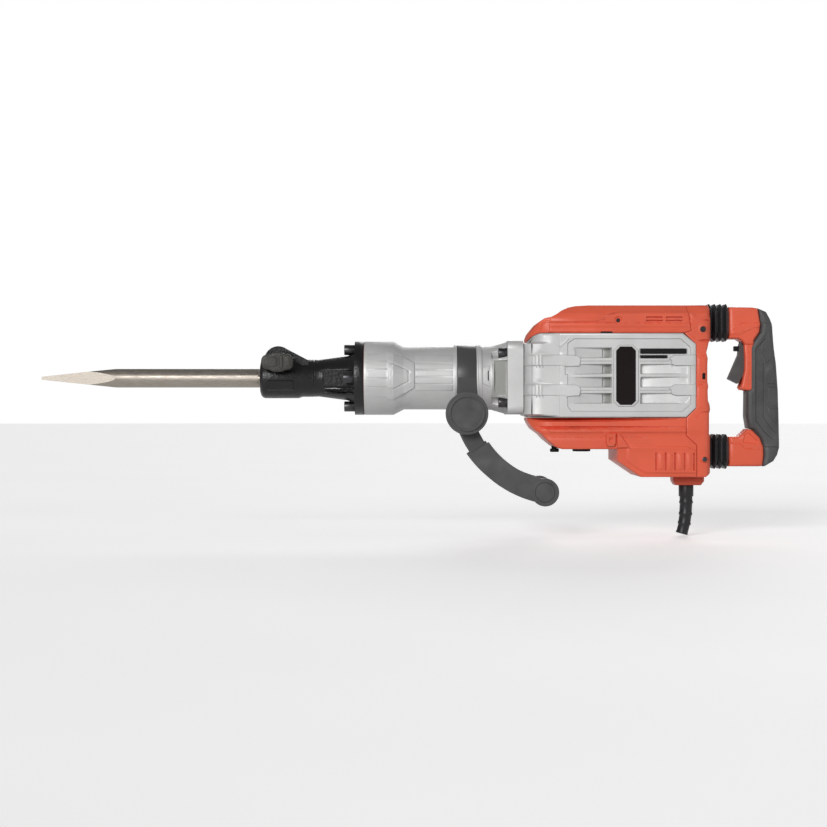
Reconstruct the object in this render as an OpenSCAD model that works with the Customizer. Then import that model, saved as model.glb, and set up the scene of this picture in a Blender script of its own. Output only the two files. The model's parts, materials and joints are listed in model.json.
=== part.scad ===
// Electric demolition hammer (jackhammer) with a pointed chisel.
// X runs along the striking axis: the chisel points to -X, the rear handle is at +X, +Z is up.
// The origin is on the striking axis at the mouth of the tool holder.

/* [Chisel] */
// Reach of the chisel beyond the holder's mouth
chisel_reach = 342; // [250:1:342]
// Length of the four-sided point
point_len = 117; // [80:1:150]
// Radius of the round bar
bar_r = 14.5; // [13.5:0.1:14.5]
// Half width of the blunt tip
tip_half = 2.3; // [1:0.1:4]
// Hexagonal shank across its flats
shank_af = 28; // [26:0.1:28]

/* [Tool holder] */
// Outer radius of the holder's nose
nose_r = 31.2; // [30:0.1:32]
// Radius of the retainer pin
pin_r = 12; // [11.5:0.1:12]
// Travel of the chisel in its holder
chisel_travel = 22; // [10:1:22]

/* [Barrel] */
// Radius of the front drum
drum_r = 57.1; // [55:0.1:58]
// Radius of the barrel
barrel_r = 48.7; // [46:0.1:49]
// Radius of the handle band's seat
seat_r = 47.5; // [45:0.1:47.5]
// Half width of the square flange
flange_half = 56.5; // [55:0.1:58]

/* [Striking mechanism] */
// Crank throw, half of the piston's stroke
throw = 15; // [12:0.5:15]
// Length of the connecting rod between centres
rod_len = 90; // [88:1:92]
// Bore radius of the cylinder liner
bore_r = 29; // [28.5:0.1:29]

/* [Gears] */
// Module of the gear teeth
gear_m = 2; // [2:1:2]
// Teeth on the motor pinion
motor_teeth = 13; // [13:2:13]
// Teeth on the large intermediate gear
large_teeth = 51; // [51:2:51]
// Teeth on the intermediate pinion
small_teeth = 15; // [15:2:15]
// Teeth on the crank gear
crank_teeth = 53; // [53:2:53]

/* [Housing] */
// Half width of the red covers
cover_half = 64; // [62:0.5:65]
// Half width of the aluminium gear case
case_half = 67; // [66:0.5:68]
// Top of the top cover
top_z = 110.8; // [108:0.1:112]
// Underside of the motor box
motor_z = -152; // [-156:1:-150]
// Wall thickness of the plastic covers
wall = 3; // [2.5:0.1:3.5]

/* [Side handle] */
// Height of the clamp bolt
clamp_z = -55; // [-57:0.5:-55]
// Radius of the clamp knob
knob_r = 32.3; // [28:0.1:34]
// Middle radius of the curved arms
arm_r = 154.5; // [150:0.5:156]

/* [Rear handle] */
// Half width of the handle's arms
arm_half = 20; // [18:0.5:22]
// Rear face of the grip
grip_x = 805; // [800:1:810]

/* [Hidden] */
$fn = 64;

// Colours
steel_c = [0.62, 0.6, 0.57];
bright_c = [0.75, 0.75, 0.76];
cast_c = [0.1, 0.1, 0.11];
alu_c = [0.83, 0.84, 0.84];
red_c = [0.9, 0.3, 0.2];
grip_c = [0.26, 0.26, 0.27];
black_c = [0.06, 0.06, 0.07];
copper_c = [0.72, 0.45, 0.25];
brass_c = [0.78, 0.62, 0.3];

// Fits
run = 0.07;         // radial clearance of a running fit
gap = 0.3;          // clearance between bodies that only pass each other
bolt_gap = 0.2;     // radial clearance of a fixing hole

// Stations along the striking axis
shank_end = 68;
guide_x = [80, 114];
flange_x = [147, 161];
gasket_t = 1;
barrel_x = flange_x[1] + gasket_t;
liner_x = [164, 400];
seat_x = [305, 335];
square_x = [382, 406];
case_x = square_x[1];
crank_x = 490;
pair_2 = (small_teeth + crank_teeth) * gear_m / 2;
pair_1 = (motor_teeth + large_teeth) * gear_m / 2;
mid_x = crank_x + pair_2;
motor_x = mid_x + pair_1;
holder_bore = 22.6;

// Levels of the gear train
deck_z = [40, 58];
crank_gear_z = [62, 72];
large_gear_z = [74.5, 82.5];
cover_gear_z = [58, 88];
crank_cover_z = 76;

// Housing outline
panel_x = [412, 668];
panel_z = [-61, 67.6];
front_r = 40;
rear_x = 692;

// Clamp and side handle
clamp_x = 319;
clamp_r = 5;
band_t = 3.4;
band_in = seat_r + gap;
arm_centre = [clamp_x + 146.7, clamp_z + 32.8];
strap_y = [band_in + band_t + 1.3, band_in + band_t + 8.3];
strap_w = 26;
sleeve_y = [49, 65];
sleeve_w = 36.5;
grip_end = arm_centre + (arm_r + 1) * [cos(260), sin(260)];

// Rear handle
arm_top = [60.9, 110.3];
arm_low = [-137, -91];
pivot_xz = [752, 54];
pivot_r = 2.5;
guide_r = 5;
bellows_x = [rear_x, 727];
guide_z = [86, -114];

// ---------------------------------------------------------------- helpers
module box(x, y, z) {
    translate([x[0], y[0], z[0]]) cube([x[1] - x[0], y[1] - y[0], z[1] - z[0]]);
}
module xbar(x0, x1, r) {
    translate([x0, 0, 0]) rotate([0, 90, 0]) cylinder(h = x1 - x0, r = r);
}
module ybar(x, z, y0, y1, r) {
    translate([x, y1, z]) rotate([90, 0, 0]) cylinder(h = y1 - y0, r = r);
}
module zbar(x, y, z0, z1, r) {
    translate([x, y, z0]) cylinder(h = z1 - z0, r = r);
}
// A profile of [x, radius] points turned about the striking axis
module turned(pts) {
    rotate([0, 90, 0]) rotate_extrude() polygon([for (p = pts) [p[1], p[0]]]);
}
// A profile of [radius, z] points turned about a vertical axis
module turned_z(x, y, pts) {
    translate([x, y, 0]) rotate_extrude() polygon(pts);
}
// An outline in X and Z, from y0 to y1
module slab(y0, y1) {
    translate([0, y1, 0]) rotate([90, 0, 0]) linear_extrude(y1 - y0) children();
}
module both_sides() {
    children();
    mirror([0, 1, 0]) children();
}
function arc(c, r, a0, a1, n = 8) =
    [for (i = [0:n]) c + r * [cos(a0 + (a1 - a0) * i / n), sin(a0 + (a1 - a0) * i / n)]];
module rounded(x, y, r) {
    translate([x[0] + r, y[0]]) square([x[1] - x[0] - 2 * r, y[1] - y[0]]);
    translate([x[0], y[0] + r]) square([x[1] - x[0], y[1] - y[0] - 2 * r]);
    for (cx = [x[0] + r, x[1] - r], cy = [y[0] + r, y[1] - r]) translate([cx, cy]) circle(r);
}
// A socket head screw along +X with its head ending at x: head, shank and socket
module socket_screw(x, y, z, head_r, head_h, r, len) {
    translate([x, y, z]) difference() {
        union() {
            xbar(-head_h, 0, head_r);
            xbar(-0.5, len, r);
        }
        translate([-head_h - 1, 0, 0]) rotate([0, 90, 0])
            cylinder(h = head_h / 2 + 1, r = head_r / 2, $fn = 6);
    }
}

// Involute gear: tip and root follow the module, teeth are thinned for backlash
press_a = 20;
backlash = 0.08;
function inv(a) = tan(a) * 180 / PI - a;
function tooth_half(n, r) =
    90 / n + inv(press_a) - inv(acos(min(1, n * gear_m / 2 * cos(press_a) / r)))
    - backlash / (n * gear_m / 2) * 180 / PI;
function tooth_pts(n, i) = let(
    rp = n * gear_m / 2,
    rb = rp * cos(press_a),
    ra = rp + 0.8 * gear_m,
    rf = rp - 1.05 * gear_m,
    start = max(rb, rf),
    radii = [rf, for (k = [0:4]) start + (ra - start) * k / 4],
    mid = 360 / n * i)
    [for (r = radii) let(a = mid - tooth_half(n, max(r, start))) r * [cos(a), sin(a)],
     for (k = [len(radii) - 1:-1:0])
        let(r = radii[k], a = mid + tooth_half(n, max(r, start))) r * [cos(a), sin(a)]];
module gear_2d(n) polygon([for (i = [0:n - 1]) each tooth_pts(n, i)]);
module gear(n, x, z, bore) {
    translate([x, 0, z[0]]) difference() {
        linear_extrude(z[1] - z[0]) gear_2d(n);
        translate([0, 0, -1]) cylinder(h = z[1] - z[0] + 2, r = bore);
    }
}

// ---------------------------------------------------------------- chisel and holder
module hex_bar(x0, x1, af) {
    translate([x0, 0, 0]) rotate([0, 90, 0]) rotate(30)
        cylinder(h = x1 - x0, r = af / 2 / cos(30), $fn = 6);
}
module point_outline() {
    polygon([[-chisel_reach, -tip_half], [point_len - chisel_reach, -bar_r], [0, -bar_r],
        [0, bar_r], [point_len - chisel_reach, bar_r], [-chisel_reach, tip_half]]);
}
module chisel() {
    // the pin dips into the shank, and the notch is as much longer as the chisel travels
    dip = sqrt(pow(pin_r, 2) - pow(pin_z - shank_af / 2, 2));
    notch_x = [pin_x - dip - 10, pin_x + dip + chisel_travel + 0.4];
    notch_z = pin_z - pin_r - 2;
    color(steel_c) {
        intersection() {
            xbar(-chisel_reach, -3, bar_r);
            slab(-bar_r, bar_r) point_outline();
            translate([0, 0, -bar_r]) linear_extrude(2 * bar_r) point_outline();
        }
        difference() {
            intersection() {
                hex_bar(-4, shank_end, shank_af);
                xbar(-5, shank_end + 1, 15.2);
            }
            box(notch_x, [-20, 20], [notch_z, 20]);
        }
    }
}
pin_x = 29;
pin_z = 24;
holder_screw_r = 44;
module holder_places() for (a = [0:90:270]) rotate([a, 0, 0]) children();
module tool_holder() {
    color(cast_c) difference() {
        union() {
            turned([[0, 0], [0, 24], each arc([8, 23.4], 7.8, 175, 90, 5),
                [59, nose_r], [65, 29], [83, 29], [84, 28.2], [85, 29], [90, 28.5], [135, 34.5],
                [flange_x[0], 40], [flange_x[0], drum_r], [flange_x[1], drum_r], [flange_x[1], 0]]);
            // hump over the retainer pin
            ybar(pin_x, 27.3, -25, 25, 21.8);
            slab(-21, 21) polygon([[pin_x + 8, 47.4], [75, 27.6], [75, 20], [pin_x, 20]]);
        }
        xbar(-1, 3, 16);
        xbar(2, flange_x[1] + 1, holder_bore);
        ybar(pin_x, pin_z, -40, 40, pin_r + run);
        both_sides() box([98, 146], [27, 60], [-12, 12]);
        holder_places() translate([0, 0, holder_screw_r]) {
            xbar(128, flange_x[0], 8.8);
            xbar(flange_x[0] - 1, flange_x[1] + 1, 5 + bolt_gap);
        }
    }
}
module holder_bushing() {
    color(steel_c) difference() {
        xbar(3, 78, holder_bore - 0.1);
        hex_bar(2, 79, shank_af + 0.5);
        ybar(pin_x, pin_z, -30, 30, pin_r + gap);
    }
}
bolt_r = 13;
module bolt_guide() {
    color(steel_c) difference() {
        xbar(guide_x[0], guide_x[1], holder_bore - 0.1);
        xbar(guide_x[0] - 1, guide_x[1] + 1, bolt_r + run);
    }
}
module impact_bolt() {
    color(bright_c) turned([[shank_end + 0.5, 0], [shank_end + 0.5, bolt_r - 1.5], [shank_end + 2, bolt_r],
        [118, bolt_r], [118, 21], [132, 21], [132, 15], [157, 15], [158, 14], [158, 0]]);
}
module damper_ring() {
    color(black_c) difference() {
        xbar(138, 150, holder_bore - 0.1);
        xbar(137, 151, 15.6);
    }
}
module retainer_pin() {
    color(steel_c) difference() {
        union() {
            ybar(pin_x, pin_z, -34, 33, pin_r);
            ybar(pin_x, pin_z, 33, 36, pin_r + 3);
        }
        // flat that frees the chisel when the pin is turned over
        box([pin_x - 14, pin_x + 14], [-18, 18], [pin_z + 8.5, pin_z + 14]);
    }
}
module retainer_knob() {
    lobe = 16;
    color([0.35, 0.33, 0.32]) {
        slab(-49, -34) {
            translate([pin_x, pin_z]) circle(15.4);
            for (s = [-1, 1]) translate([pin_x + s * lobe, pin_z]) circle(9);
            translate([pin_x - lobe, pin_z - 8]) square([2 * lobe, 16]);
        }
        ybar(pin_x, pin_z, -51, -49, 9);
    }
}
module holder_bolts() {
    color(cast_c) holder_places()
        socket_screw(flange_x[0], 0, holder_screw_r, 8, 17, 5, 31);
}
module flange_gasket() {
    color([0.6, 0.3, 0.25]) difference() {
        xbar(flange_x[1], barrel_x, drum_r - 1);
        xbar(flange_x[1] - 1, barrel_x + 1, 24);
        holder_places() translate([0, 0, holder_screw_r]) xbar(flange_x[1] - 1, barrel_x + 1, 5 + bolt_gap);
    }
}

// ---------------------------------------------------------------- barrel and striking parts
square_bolt = 38;
module square_places() for (y = [-square_bolt, square_bolt], z = [-square_bolt, square_bolt])
    translate([0, y, z]) children();
module barrel() {
    color(alu_c) difference() {
        union() {
            turned([[barrel_x, 0], [barrel_x, drum_r], [207, drum_r], [223, barrel_r],
                [seat_x[0] - 4, barrel_r], [seat_x[0] - 4, 51.5], [seat_x[0], 51.5], [seat_x[0], seat_r],
                [seat_x[1], seat_r], [seat_x[1], 51.5], [337, 51.5], [338, 50.4], [339, 51.5],
                [343, 51.5], [343, 49.4], [359, 49.4], [square_x[0], 56], [square_x[0], 0]]);
            translate([square_x[0], 0, 0]) rotate([90, 0, 90]) linear_extrude(square_x[1] - square_x[0])
                rounded([-flange_half, flange_half], [-flange_half, flange_half], 12);
        }
        xbar(barrel_x - 1, barrel_x + 4, 24);
        xbar(liner_x[0], square_x[1] + 1, bore_r + 5.1);
        holder_places() translate([0, 0, holder_screw_r]) xbar(barrel_x - 1, 182, 5 + bolt_gap);
        square_places() {
            xbar(358, square_x[0], 9);
            xbar(square_x[0] - 1, square_x[1] + 1, 5 + bolt_gap);
        }
        both_sides() box([361, square_x[0]], [44, 60], [-27, 27]);
    }
}
module cylinder_liner() {
    color(steel_c) difference() {
        xbar(liner_x[0], liner_x[1], bore_r + 5);
        xbar(liner_x[0] - 1, liner_x[1] + 1, bore_r);
        for (a = [0:60:300]) rotate([a, 0, 0]) zbar(318, 0, 20, 40, 3);
    }
}
module ram() {
    groove = bore_r - 2;
    color(bright_c) turned([[166, 0], [166, 18], [167, 19], [180, 19], [182, bore_r - run],
        [192, bore_r - run], [192, groove], [195, groove], [195, bore_r - run],
        [262, bore_r - run], [262, 0]]);
}
wrist_x = crank_x - throw - rod_len;
cavity_r = 25.5;
piston_x = [wrist_x - 2 * throw - 25, wrist_x + 20];
cavity_x = wrist_x - 2 * throw - 10;
module piston() {
    color(bright_c) difference() {
        xbar(piston_x[0], piston_x[1], bore_r - run);
        xbar(cavity_x, piston_x[1] + 1, cavity_r);
        ring_groove();
    }
}
ring_x = [piston_x[0] + 4, piston_x[0] + 8];
module ring_groove() {
    difference() {
        xbar(ring_x[0], ring_x[1], bore_r + 1);
        xbar(ring_x[0] - 1, ring_x[1] + 1, bore_r - 3);
    }
}
module piston_rings() {
    color(black_c) difference() {
        xbar(ring_x[0] + 0.1, ring_x[1] - 0.1, bore_r - 0.04);
        xbar(ring_x[0] - 1, ring_x[1] + 1, bore_r - 2.9);
    }
}
crank_pin_r = 8;
module connecting_rod() {
    big = crank_x - throw;
    color(bright_c) difference() {
        union() {
            zbar(big, 0, -8, 8, 15);
            zbar(wrist_x, 0, -6, 6, 9);
            box([wrist_x, big], [-7, 7], [-5, 5]);
        }
        zbar(big, 0, -9, 9, crank_pin_r + run);
        zbar(wrist_x, 0, -9, 9, 5);
    }
}
module wrist_pin() {
    color(steel_c) zbar(wrist_x, 0, -13, 13, 5);
}
module barrel_bolts() {
    color(black_c) square_places() socket_screw(square_x[0], 0, 0, 8, 13.5, 5, 36);
}

// ---------------------------------------------------------------- gear case and gear train
// Outline of the housing seen from above: straight sides and a round front, inset by t
module plan(x0, x1, half, t = 0) {
    cx = x0 + front_r;
    translate([cx, t - half]) square([x1 - cx, 2 * (half - t)]);
    translate([x0 + t, front_r - half]) square([front_r, 2 * (half - front_r)]);
    for (s = [-1, 1]) translate([cx, s * (half - front_r)]) circle(front_r - t);
}
module plan_block(x, half, z, t = 0) {
    translate([0, 0, z[0]]) linear_extrude(z[1] - z[0]) plan(x[0], x[1], half, t);
}
nose_half = 62;
nose_z = [-58, 54];
crank_seat = 26;
mid_seat = 16;
motor_seat = 16;
bay_z = [-40, -34];
pocket_rows = [[29, 45.3], [4.8, 20.4], [-15.6, 0], [-40, -23.8]];
boss_rows = [[17.4, 34.8], [-28, -10.1]];
pocket_d = 6;
// Sides of the case: bosses, sloping pockets, vent slots and the seat of the label plate
module side_relief() {
    for (z = pocket_rows) translate([0, 0, z[0]]) linear_extrude(z[1] - z[0])
        polygon([[474, case_half + 1], [480, case_half - 0.5], [525, case_half - pocket_d],
            [539, case_half - pocket_d], [539, case_half + 1]]);
    for (i = [1:3]) let(z = pocket_rows[i]) translate([0, 0, z[0]]) linear_extrude(z[1] - z[0])
        polygon([[583, case_half + 1], [583, case_half - pocket_d], [597, case_half - pocket_d],
            [650, case_half - 1.5], [650, case_half + 1]]);
    box([582.5, 654], [case_half - 3, case_half + 1], [35.9, 43.7]);
    box([582.5, 624.3], [case_half - 3, case_half + 1], [29, 33.7]);
    slab(case_half - 1, case_half + 1) label_outline(0.1);
}
module side_bosses() {
    for (z = boss_rows) {
        box([case_x, 484], [nose_half - 6, case_half + 1.2], z);
        box([628, panel_x[1]], [case_half - 4, case_half + 1.2], z);
    }
}
module side_notches() {
    for (z = boss_rows, i = [0:2]) box([424 + 4.5 * i, 426.5 + 4.5 * i], [case_half - 1, case_half + 2], z);
}
label_x = [546.5, 576];
label_z = [-41.7, 46.5];
module label_outline(t = 0) {
    c = 6;
    x = label_x + [-t, t];
    z = label_z + [-t, t];
    polygon([[x[0] + c, z[0]], [x[1] - c, z[0]], [x[1], z[0] + c], [x[1], z[1] - c],
        [x[1] - c, z[1]], [x[0] + c, z[1]], [x[0], z[1] - c], [x[0], z[0] + c]]);
}
module panel_outline() {
    polygon([[400, panel_z[0]], [653, panel_z[0]], [panel_x[1], -46.4], [panel_x[1], 51],
        [648, panel_z[1]], [400, panel_z[1]]]);
}
module gear_case() {
    color(alu_c) difference() {
        union() {
            intersection() {
                union() {
                    plan_block(panel_x, case_half, panel_z);
                    both_sides() side_bosses();
                }
                slab(-80, 80) panel_outline();
            }
            box([case_x, 470], [-nose_half, nose_half], nose_z);
        }
        difference() {
            plan_block(panel_x + [0, 4], case_half, panel_z + [-1, 1], 9);
            // gear deck, floor and rear wall of the crank bay
            box([400, 650], [-80, 80], deck_z);
            box([400, 556], [-80, 80], bay_z);
            box([548, 556], [-80, 80], [bay_z[0], deck_z[0]]);
            zbar(crank_x, 0, 24, deck_z[1], crank_seat + 5);
        }
        // bore for the liner and the piston
        xbar(case_x - 1, 440, 31);
        zbar(crank_x, 0, 20, deck_z[1] + 1, crank_seat);
        zbar(mid_x, 0, deck_z[0] - 1, deck_z[1] + 1, mid_seat);
        zbar(motor_x, 0, deck_z[0] - 1, deck_z[1] + 1, motor_seat);
        square_places() xbar(case_x - 1, 422, 5 + bolt_gap);
        both_sides() {
            side_relief();
            side_notches();
        }
    }
}
crank_shaft_r = 12.5;
module crankshaft() {
    color(steel_c) {
        zbar(crank_x, 0, 20, crank_gear_z[1], crank_shaft_r);
        zbar(crank_x, 0, 12, 21, 27);
        zbar(crank_x - throw, 0, -10, 13, crank_pin_r);
    }
}
module crank_gear() {
    color(steel_c) difference() {
        gear(crank_teeth, crank_x, crank_gear_z, crank_shaft_r + 0.05);
        for (a = [30:60:330]) translate([crank_x, 0, 0]) rotate(a) zbar(32, 0, 60, 74, 9);
    }
}
module bearing(x, z, seat, shaft) {
    mid = (seat + shaft) / 2;
    color(bright_c) turned_z(x, 0, [[shaft + run, z[0]], [mid - 1, z[0]], [mid, z[0] + 1], [mid + 1, z[0]],
        [seat - 0.1, z[0]], [seat - 0.1, z[1]], [mid + 1, z[1]], [mid, z[1] - 1], [mid - 1, z[1]],
        [shaft + run, z[1]]]);
}
module crank_bearings() {
    bearing(crank_x, [26, 38], crank_seat, crank_shaft_r);
    bearing(crank_x, [45, 57], crank_seat, crank_shaft_r);
}
mid_shaft_r = 8;
motor_shaft_r = 8;
module pinion_shaft() {
    color(steel_c) {
        zbar(mid_x, 0, 43, 94, mid_shaft_r);
        translate([mid_x, 0, crank_gear_z[0] - 0.5]) linear_extrude(11) gear_2d(small_teeth);
    }
}
module large_gear() {
    color(steel_c) difference() {
        gear(large_teeth, mid_x, large_gear_z, mid_shaft_r + 0.05);
        for (a = [30:60:330]) translate([mid_x, 0, 0]) rotate(a) zbar(30, 0, 70, 90, 8);
    }
}
low_bearing_z = [-134, -124];
module shaft_bearings() {
    bearing(mid_x, [46, 57], mid_seat, mid_shaft_r);
    bearing(mid_x, [86.5, 94], mid_seat, mid_shaft_r);
    bearing(motor_x, [44, 56], motor_seat, motor_shaft_r);
    bearing(motor_x, low_bearing_z, 13, 6);
}
// Space over the gears, low over the crank gear and high over the large gear, inset by t
module train_space(t) {
    base = cover_gear_z[0] - (t > 0 ? 1 : 0);
    zbar(crank_x, 0, base, crank_cover_z - t, 57.5 - t);
    zbar(mid_x, 0, base, cover_gear_z[1] - t, 56.5 - t);
    zbar(motor_x, 0, base, cover_gear_z[1] - t, 20 - t);
}
module gear_cover() {
    color(alu_c) difference() {
        union() {
            train_space(0);
            zbar(mid_x, 0, 80, 96, mid_seat + 3);
        }
        train_space(1.8);
        zbar(mid_x, 0, 70, 94.5, mid_seat);
    }
}
module armature_shaft() {
    color(steel_c) {
        zbar(motor_x, 0, -110, 84, motor_shaft_r);
        zbar(motor_x, 0, -137, -109, 6);
        translate([motor_x, 0, large_gear_z[0] - 1]) linear_extrude(10) gear_2d(motor_teeth);
    }
}
core_z = [-78, -22];
core_r = 26;
module armature_core() {
    slots = 12;
    color(copper_c) difference() {
        union() {
            zbar(motor_x, 0, core_z[0], core_z[1], core_r);
            zbar(motor_x, 0, core_z[0] - 9, core_z[1] + 9, 20);
        }
        zbar(motor_x, 0, -100, 0, motor_shaft_r + 0.05);
        for (i = [0:slots - 1]) translate([motor_x, 0, 0]) rotate(360 / slots * i)
            box([core_r - 3, core_r + 1], [-1, 1], core_z + [-1, 1]);
    }
}
module commutator() {
    color(copper_c) difference() {
        zbar(motor_x, 0, -112, -92, 15);
        zbar(motor_x, 0, -113, -91, motor_shaft_r + 0.05);
        for (i = [0:11]) translate([motor_x, 0, 0]) rotate(30 * i) box([14, 16], [-0.4, 0.4], [-113, -94]);
    }
}
module cooling_fan() {
    fan_r = 40;
    color(black_c) difference() {
        union() {
            zbar(motor_x, 0, 14, 34, 13);
            zbar(motor_x, 0, 14, 17, fan_r);
            for (i = [0:11]) translate([motor_x, 0, 0]) rotate(30 * i)
                box([12, fan_r - 1], [-1, 1], [16, 34]);
        }
        zbar(motor_x, 0, 0, 40, motor_shaft_r + 0.05);
    }
}
module stator() {
    color([0.35, 0.33, 0.32]) difference() {
        union() {
            zbar(motor_x, 0, core_z[0] - 2, core_z[1] + 2, 45);
            both_sides() box([motor_x - 22, motor_x + 22], [30, 43], [core_z[0] - 8, core_z[1] + 8]);
        }
        zbar(motor_x, 0, -100, 0, core_r + 1);
    }
}
brush_z = [-107, -97];
module brush_holders() {
    color(brass_c) both_sides() difference() {
        box([motor_x - 5.5, motor_x + 5.5], [20, 50], brush_z + [-2.5, 2.5]);
        box([motor_x - 3.1, motor_x + 3.1], [19, 48], brush_z + [-0.1, 0.1]);
    }
}
module carbon_brushes() {
    color(black_c) both_sides() box([motor_x - 3, motor_x + 3], [15.3, 36], brush_z);
}
module label_plates() {
    color(black_c) both_sides() slab(case_half - 1, case_half + 0.4) label_outline();
}
module vent_grilles() {
    color(black_c) both_sides() {
        box([583, 653.5], [case_half - 3, case_half - 1], [36.2, 43.4]);
        box([583, 624], [case_half - 3, case_half - 1], [29.3, 33.4]);
    }
}

// ---------------------------------------------------------------- covers
seam_x = 655;
// Side view of the top cover, inset by t
module top_outline(t = 0) {
    polygon([[414 + t, panel_z[1]], [416 + t, 70], [429 + t, 84.5 - t], [438 + t, 90.5 - t],
        [448 + t, 92 - t], [455 + t, 96 - t], [464 + t, 102.3 - t], [474 + t, 107 - t], [486 + t, 109.6 - t],
        [506 + t, top_z - t], [seam_x, top_z - t], [seam_x + 6, panel_z[1] + 3], [649, panel_z[1]]]);
}
// End view of the covers: the upper edges are chamfered
module section_outline(half, top, t = 0) {
    bevel = 14;
    polygon([[-half + t, -200], [half - t, -200], [half - t, top - bevel], [half - bevel - t / 2, top - t],
        [bevel + t / 2 - half, top - t], [t - half, top - bevel]]);
}
module section_bar(half, top, t = 0) {
    translate([400, 0, 0]) rotate([90, 0, 90]) linear_extrude(310) section_outline(half, top, t);
}
module top_cover() {
    color(red_c) difference() {
        intersection() {
            plan_block([panel_x[0], 700], cover_half, [panel_z[1], 120]);
            slab(-70, 70) top_outline();
            section_bar(cover_half, top_z);
        }
        intersection() {
            plan_block([panel_x[0], 700], cover_half, [panel_z[1] - 1, 120], wall);
            slab(-70, 70) difference() {
                top_outline(wall);
                translate([400, 0]) square([300, panel_z[1] - 5]);
            }
            section_bar(cover_half, top_z, wall);
        }
        box([460, 700], [wall - cover_half, cover_half - wall], [panel_z[1] - 1, panel_z[1] + 5]);
        both_sides() {
            for (x = [592, 622], z = [85, 90]) box([x, x + 26], [cover_half - 8, 70], [z, z + 2.5]);
            ybar(550, 87, cover_half - 2, 70, 6);
            ybar(550, 87, cover_half - 6, 70, 3.2);
        }
    }
}
lower_half = 58;
box_half = 55;
// Side view of the lower housing; inset by t it runs out through the open top and rear
module lower_outline(t = 0) {
    polygon([[412 + t, -65], [421 + t, -78 + t], [434 + t, -87.3 + t], [442 + t, -95.5 + t],
        [455 + t, -106 + t], [465 + t, -109.5 + t], [549 + t, -109.5 + t], [549 + t, -127.5],
        [585 + t, motor_z + t],
        each t == 0 ? [[670, motor_z], [670, -103.4], [653.6, -88.4], [653.6, panel_z[0]], [412, panel_z[0]]]
            : [[700, motor_z + t], [700, -50], [412 + t, -50]]]);
}
module lower_shell(t = 0) {
    intersection() {
        union() {
            plan_block([panel_x[0], 710], cover_half, [-84 + t, -40], t);
            plan_block([panel_x[0], 710], lower_half, [-112 + t, -40], t);
            box([548, 710], [t - box_half, box_half - t], [motor_z - 1, -40]);
        }
        slab(-70, 70) lower_outline(t);
    }
}
module lower_housing() {
    color(red_c) difference() {
        union() {
            difference() {
                lower_shell();
                lower_shell(wall);
            }
            zbar(motor_x, 0, motor_z + 1, low_bearing_z[1], 17);
        }
        zbar(motor_x, 0, low_bearing_z[0], 0, 13);
        zbar(motor_x, 0, low_bearing_z[0] - 8, 0, 9);
        both_sides() for (i = [0:3]) translate([608 + 14.4 * i, 0, 0])
            box([0, 2.2], [box_half - 6, 70], [-142, -115]);
        for (x = [458, 500]) zbar(x, 0, -112, -100, 5);
    }
}
cord_x = 663.4;
boss_z = -166.5;
// Side view of the rear housing; inset by t it runs out through the open front
module rear_outline(t = 0) {
    polygon([[rear_x - t, top_z - t], [rear_x - t, -146 + t], [rear_x - 8 - t, motor_z + t],
        each t == 0 ? [[670.2, motor_z], [670.2, -103.4], [653.8, -88.4], [653.8, -61.3],
            [panel_x[1] + 0.2, -46.6], [panel_x[1] + 0.2, 51.2], [650.2, panel_z[1] + 0.2],
            [seam_x + 6.2, panel_z[1] + 3], [seam_x + 0.2, top_z]]
            : [[600, motor_z + t], [600, top_z - t]]]);
}
module rear_plan(t = 0) {
    half = cover_half - t;
    translate([0, 0, -200]) linear_extrude(400) rounded([560 + t, rear_x - t], [-half, half], 14 - t);
}
module rear_housing() {
    color(red_c) difference() {
        union() {
            difference() {
                intersection() {
                    rear_plan();
                    slab(-70, 70) rear_outline();
                    section_bar(cover_half, top_z);
                }
                intersection() {
                    rear_plan(wall);
                    slab(-70, 70) rear_outline(wall);
                    section_bar(cover_half, top_z, wall);
                }
            }
            // boss of the cord guard
            slab(-18, 18) polygon([[640, motor_z], [640, -158], [647, boss_z], [683, boss_z], [690, -158],
                [690, -147], [684, motor_z + 2], [671, motor_z + 2], [671, motor_z], [670, motor_z - 0.1]]);
            // seats of the guide bars
            for (z = guide_z) translate([0, 0, z]) xbar(rear_x - 8, rear_x, 11);
        }
        zbar(cord_x, 0, boss_z - 1, motor_z + 6, 8.1);
        for (z = guide_z) translate([0, 0, z]) xbar(rear_x - 9, rear_x + 1, guide_r + 0.1);
        both_sides() {
            ybar(679, 73.3, cover_half - 2, 70, 5);
            ybar(681.7, -124.9, cover_half - 2, 70, 4);
        }
    }
}
module housing_screws() {
    color(steel_c) both_sides() {
        ybar(550, 87, cover_half - 5.5, cover_half - 3.5, 2.9);
        ybar(679, 73.3, cover_half - 2, cover_half - 0.4, 4.7);
        ybar(681.7, -124.9, cover_half - 2, cover_half - 0.4, 3.7);
    }
}
module grease_cap() {
    color(black_c) {
        for (x = [458, 500]) {
            zbar(x, 0, -109.4, -105, 4.9);
            zbar(x, 0, -115 + (x - 458) / 42, -109.5, x == 500 ? 14 : 7);
        }
    }
}

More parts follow.
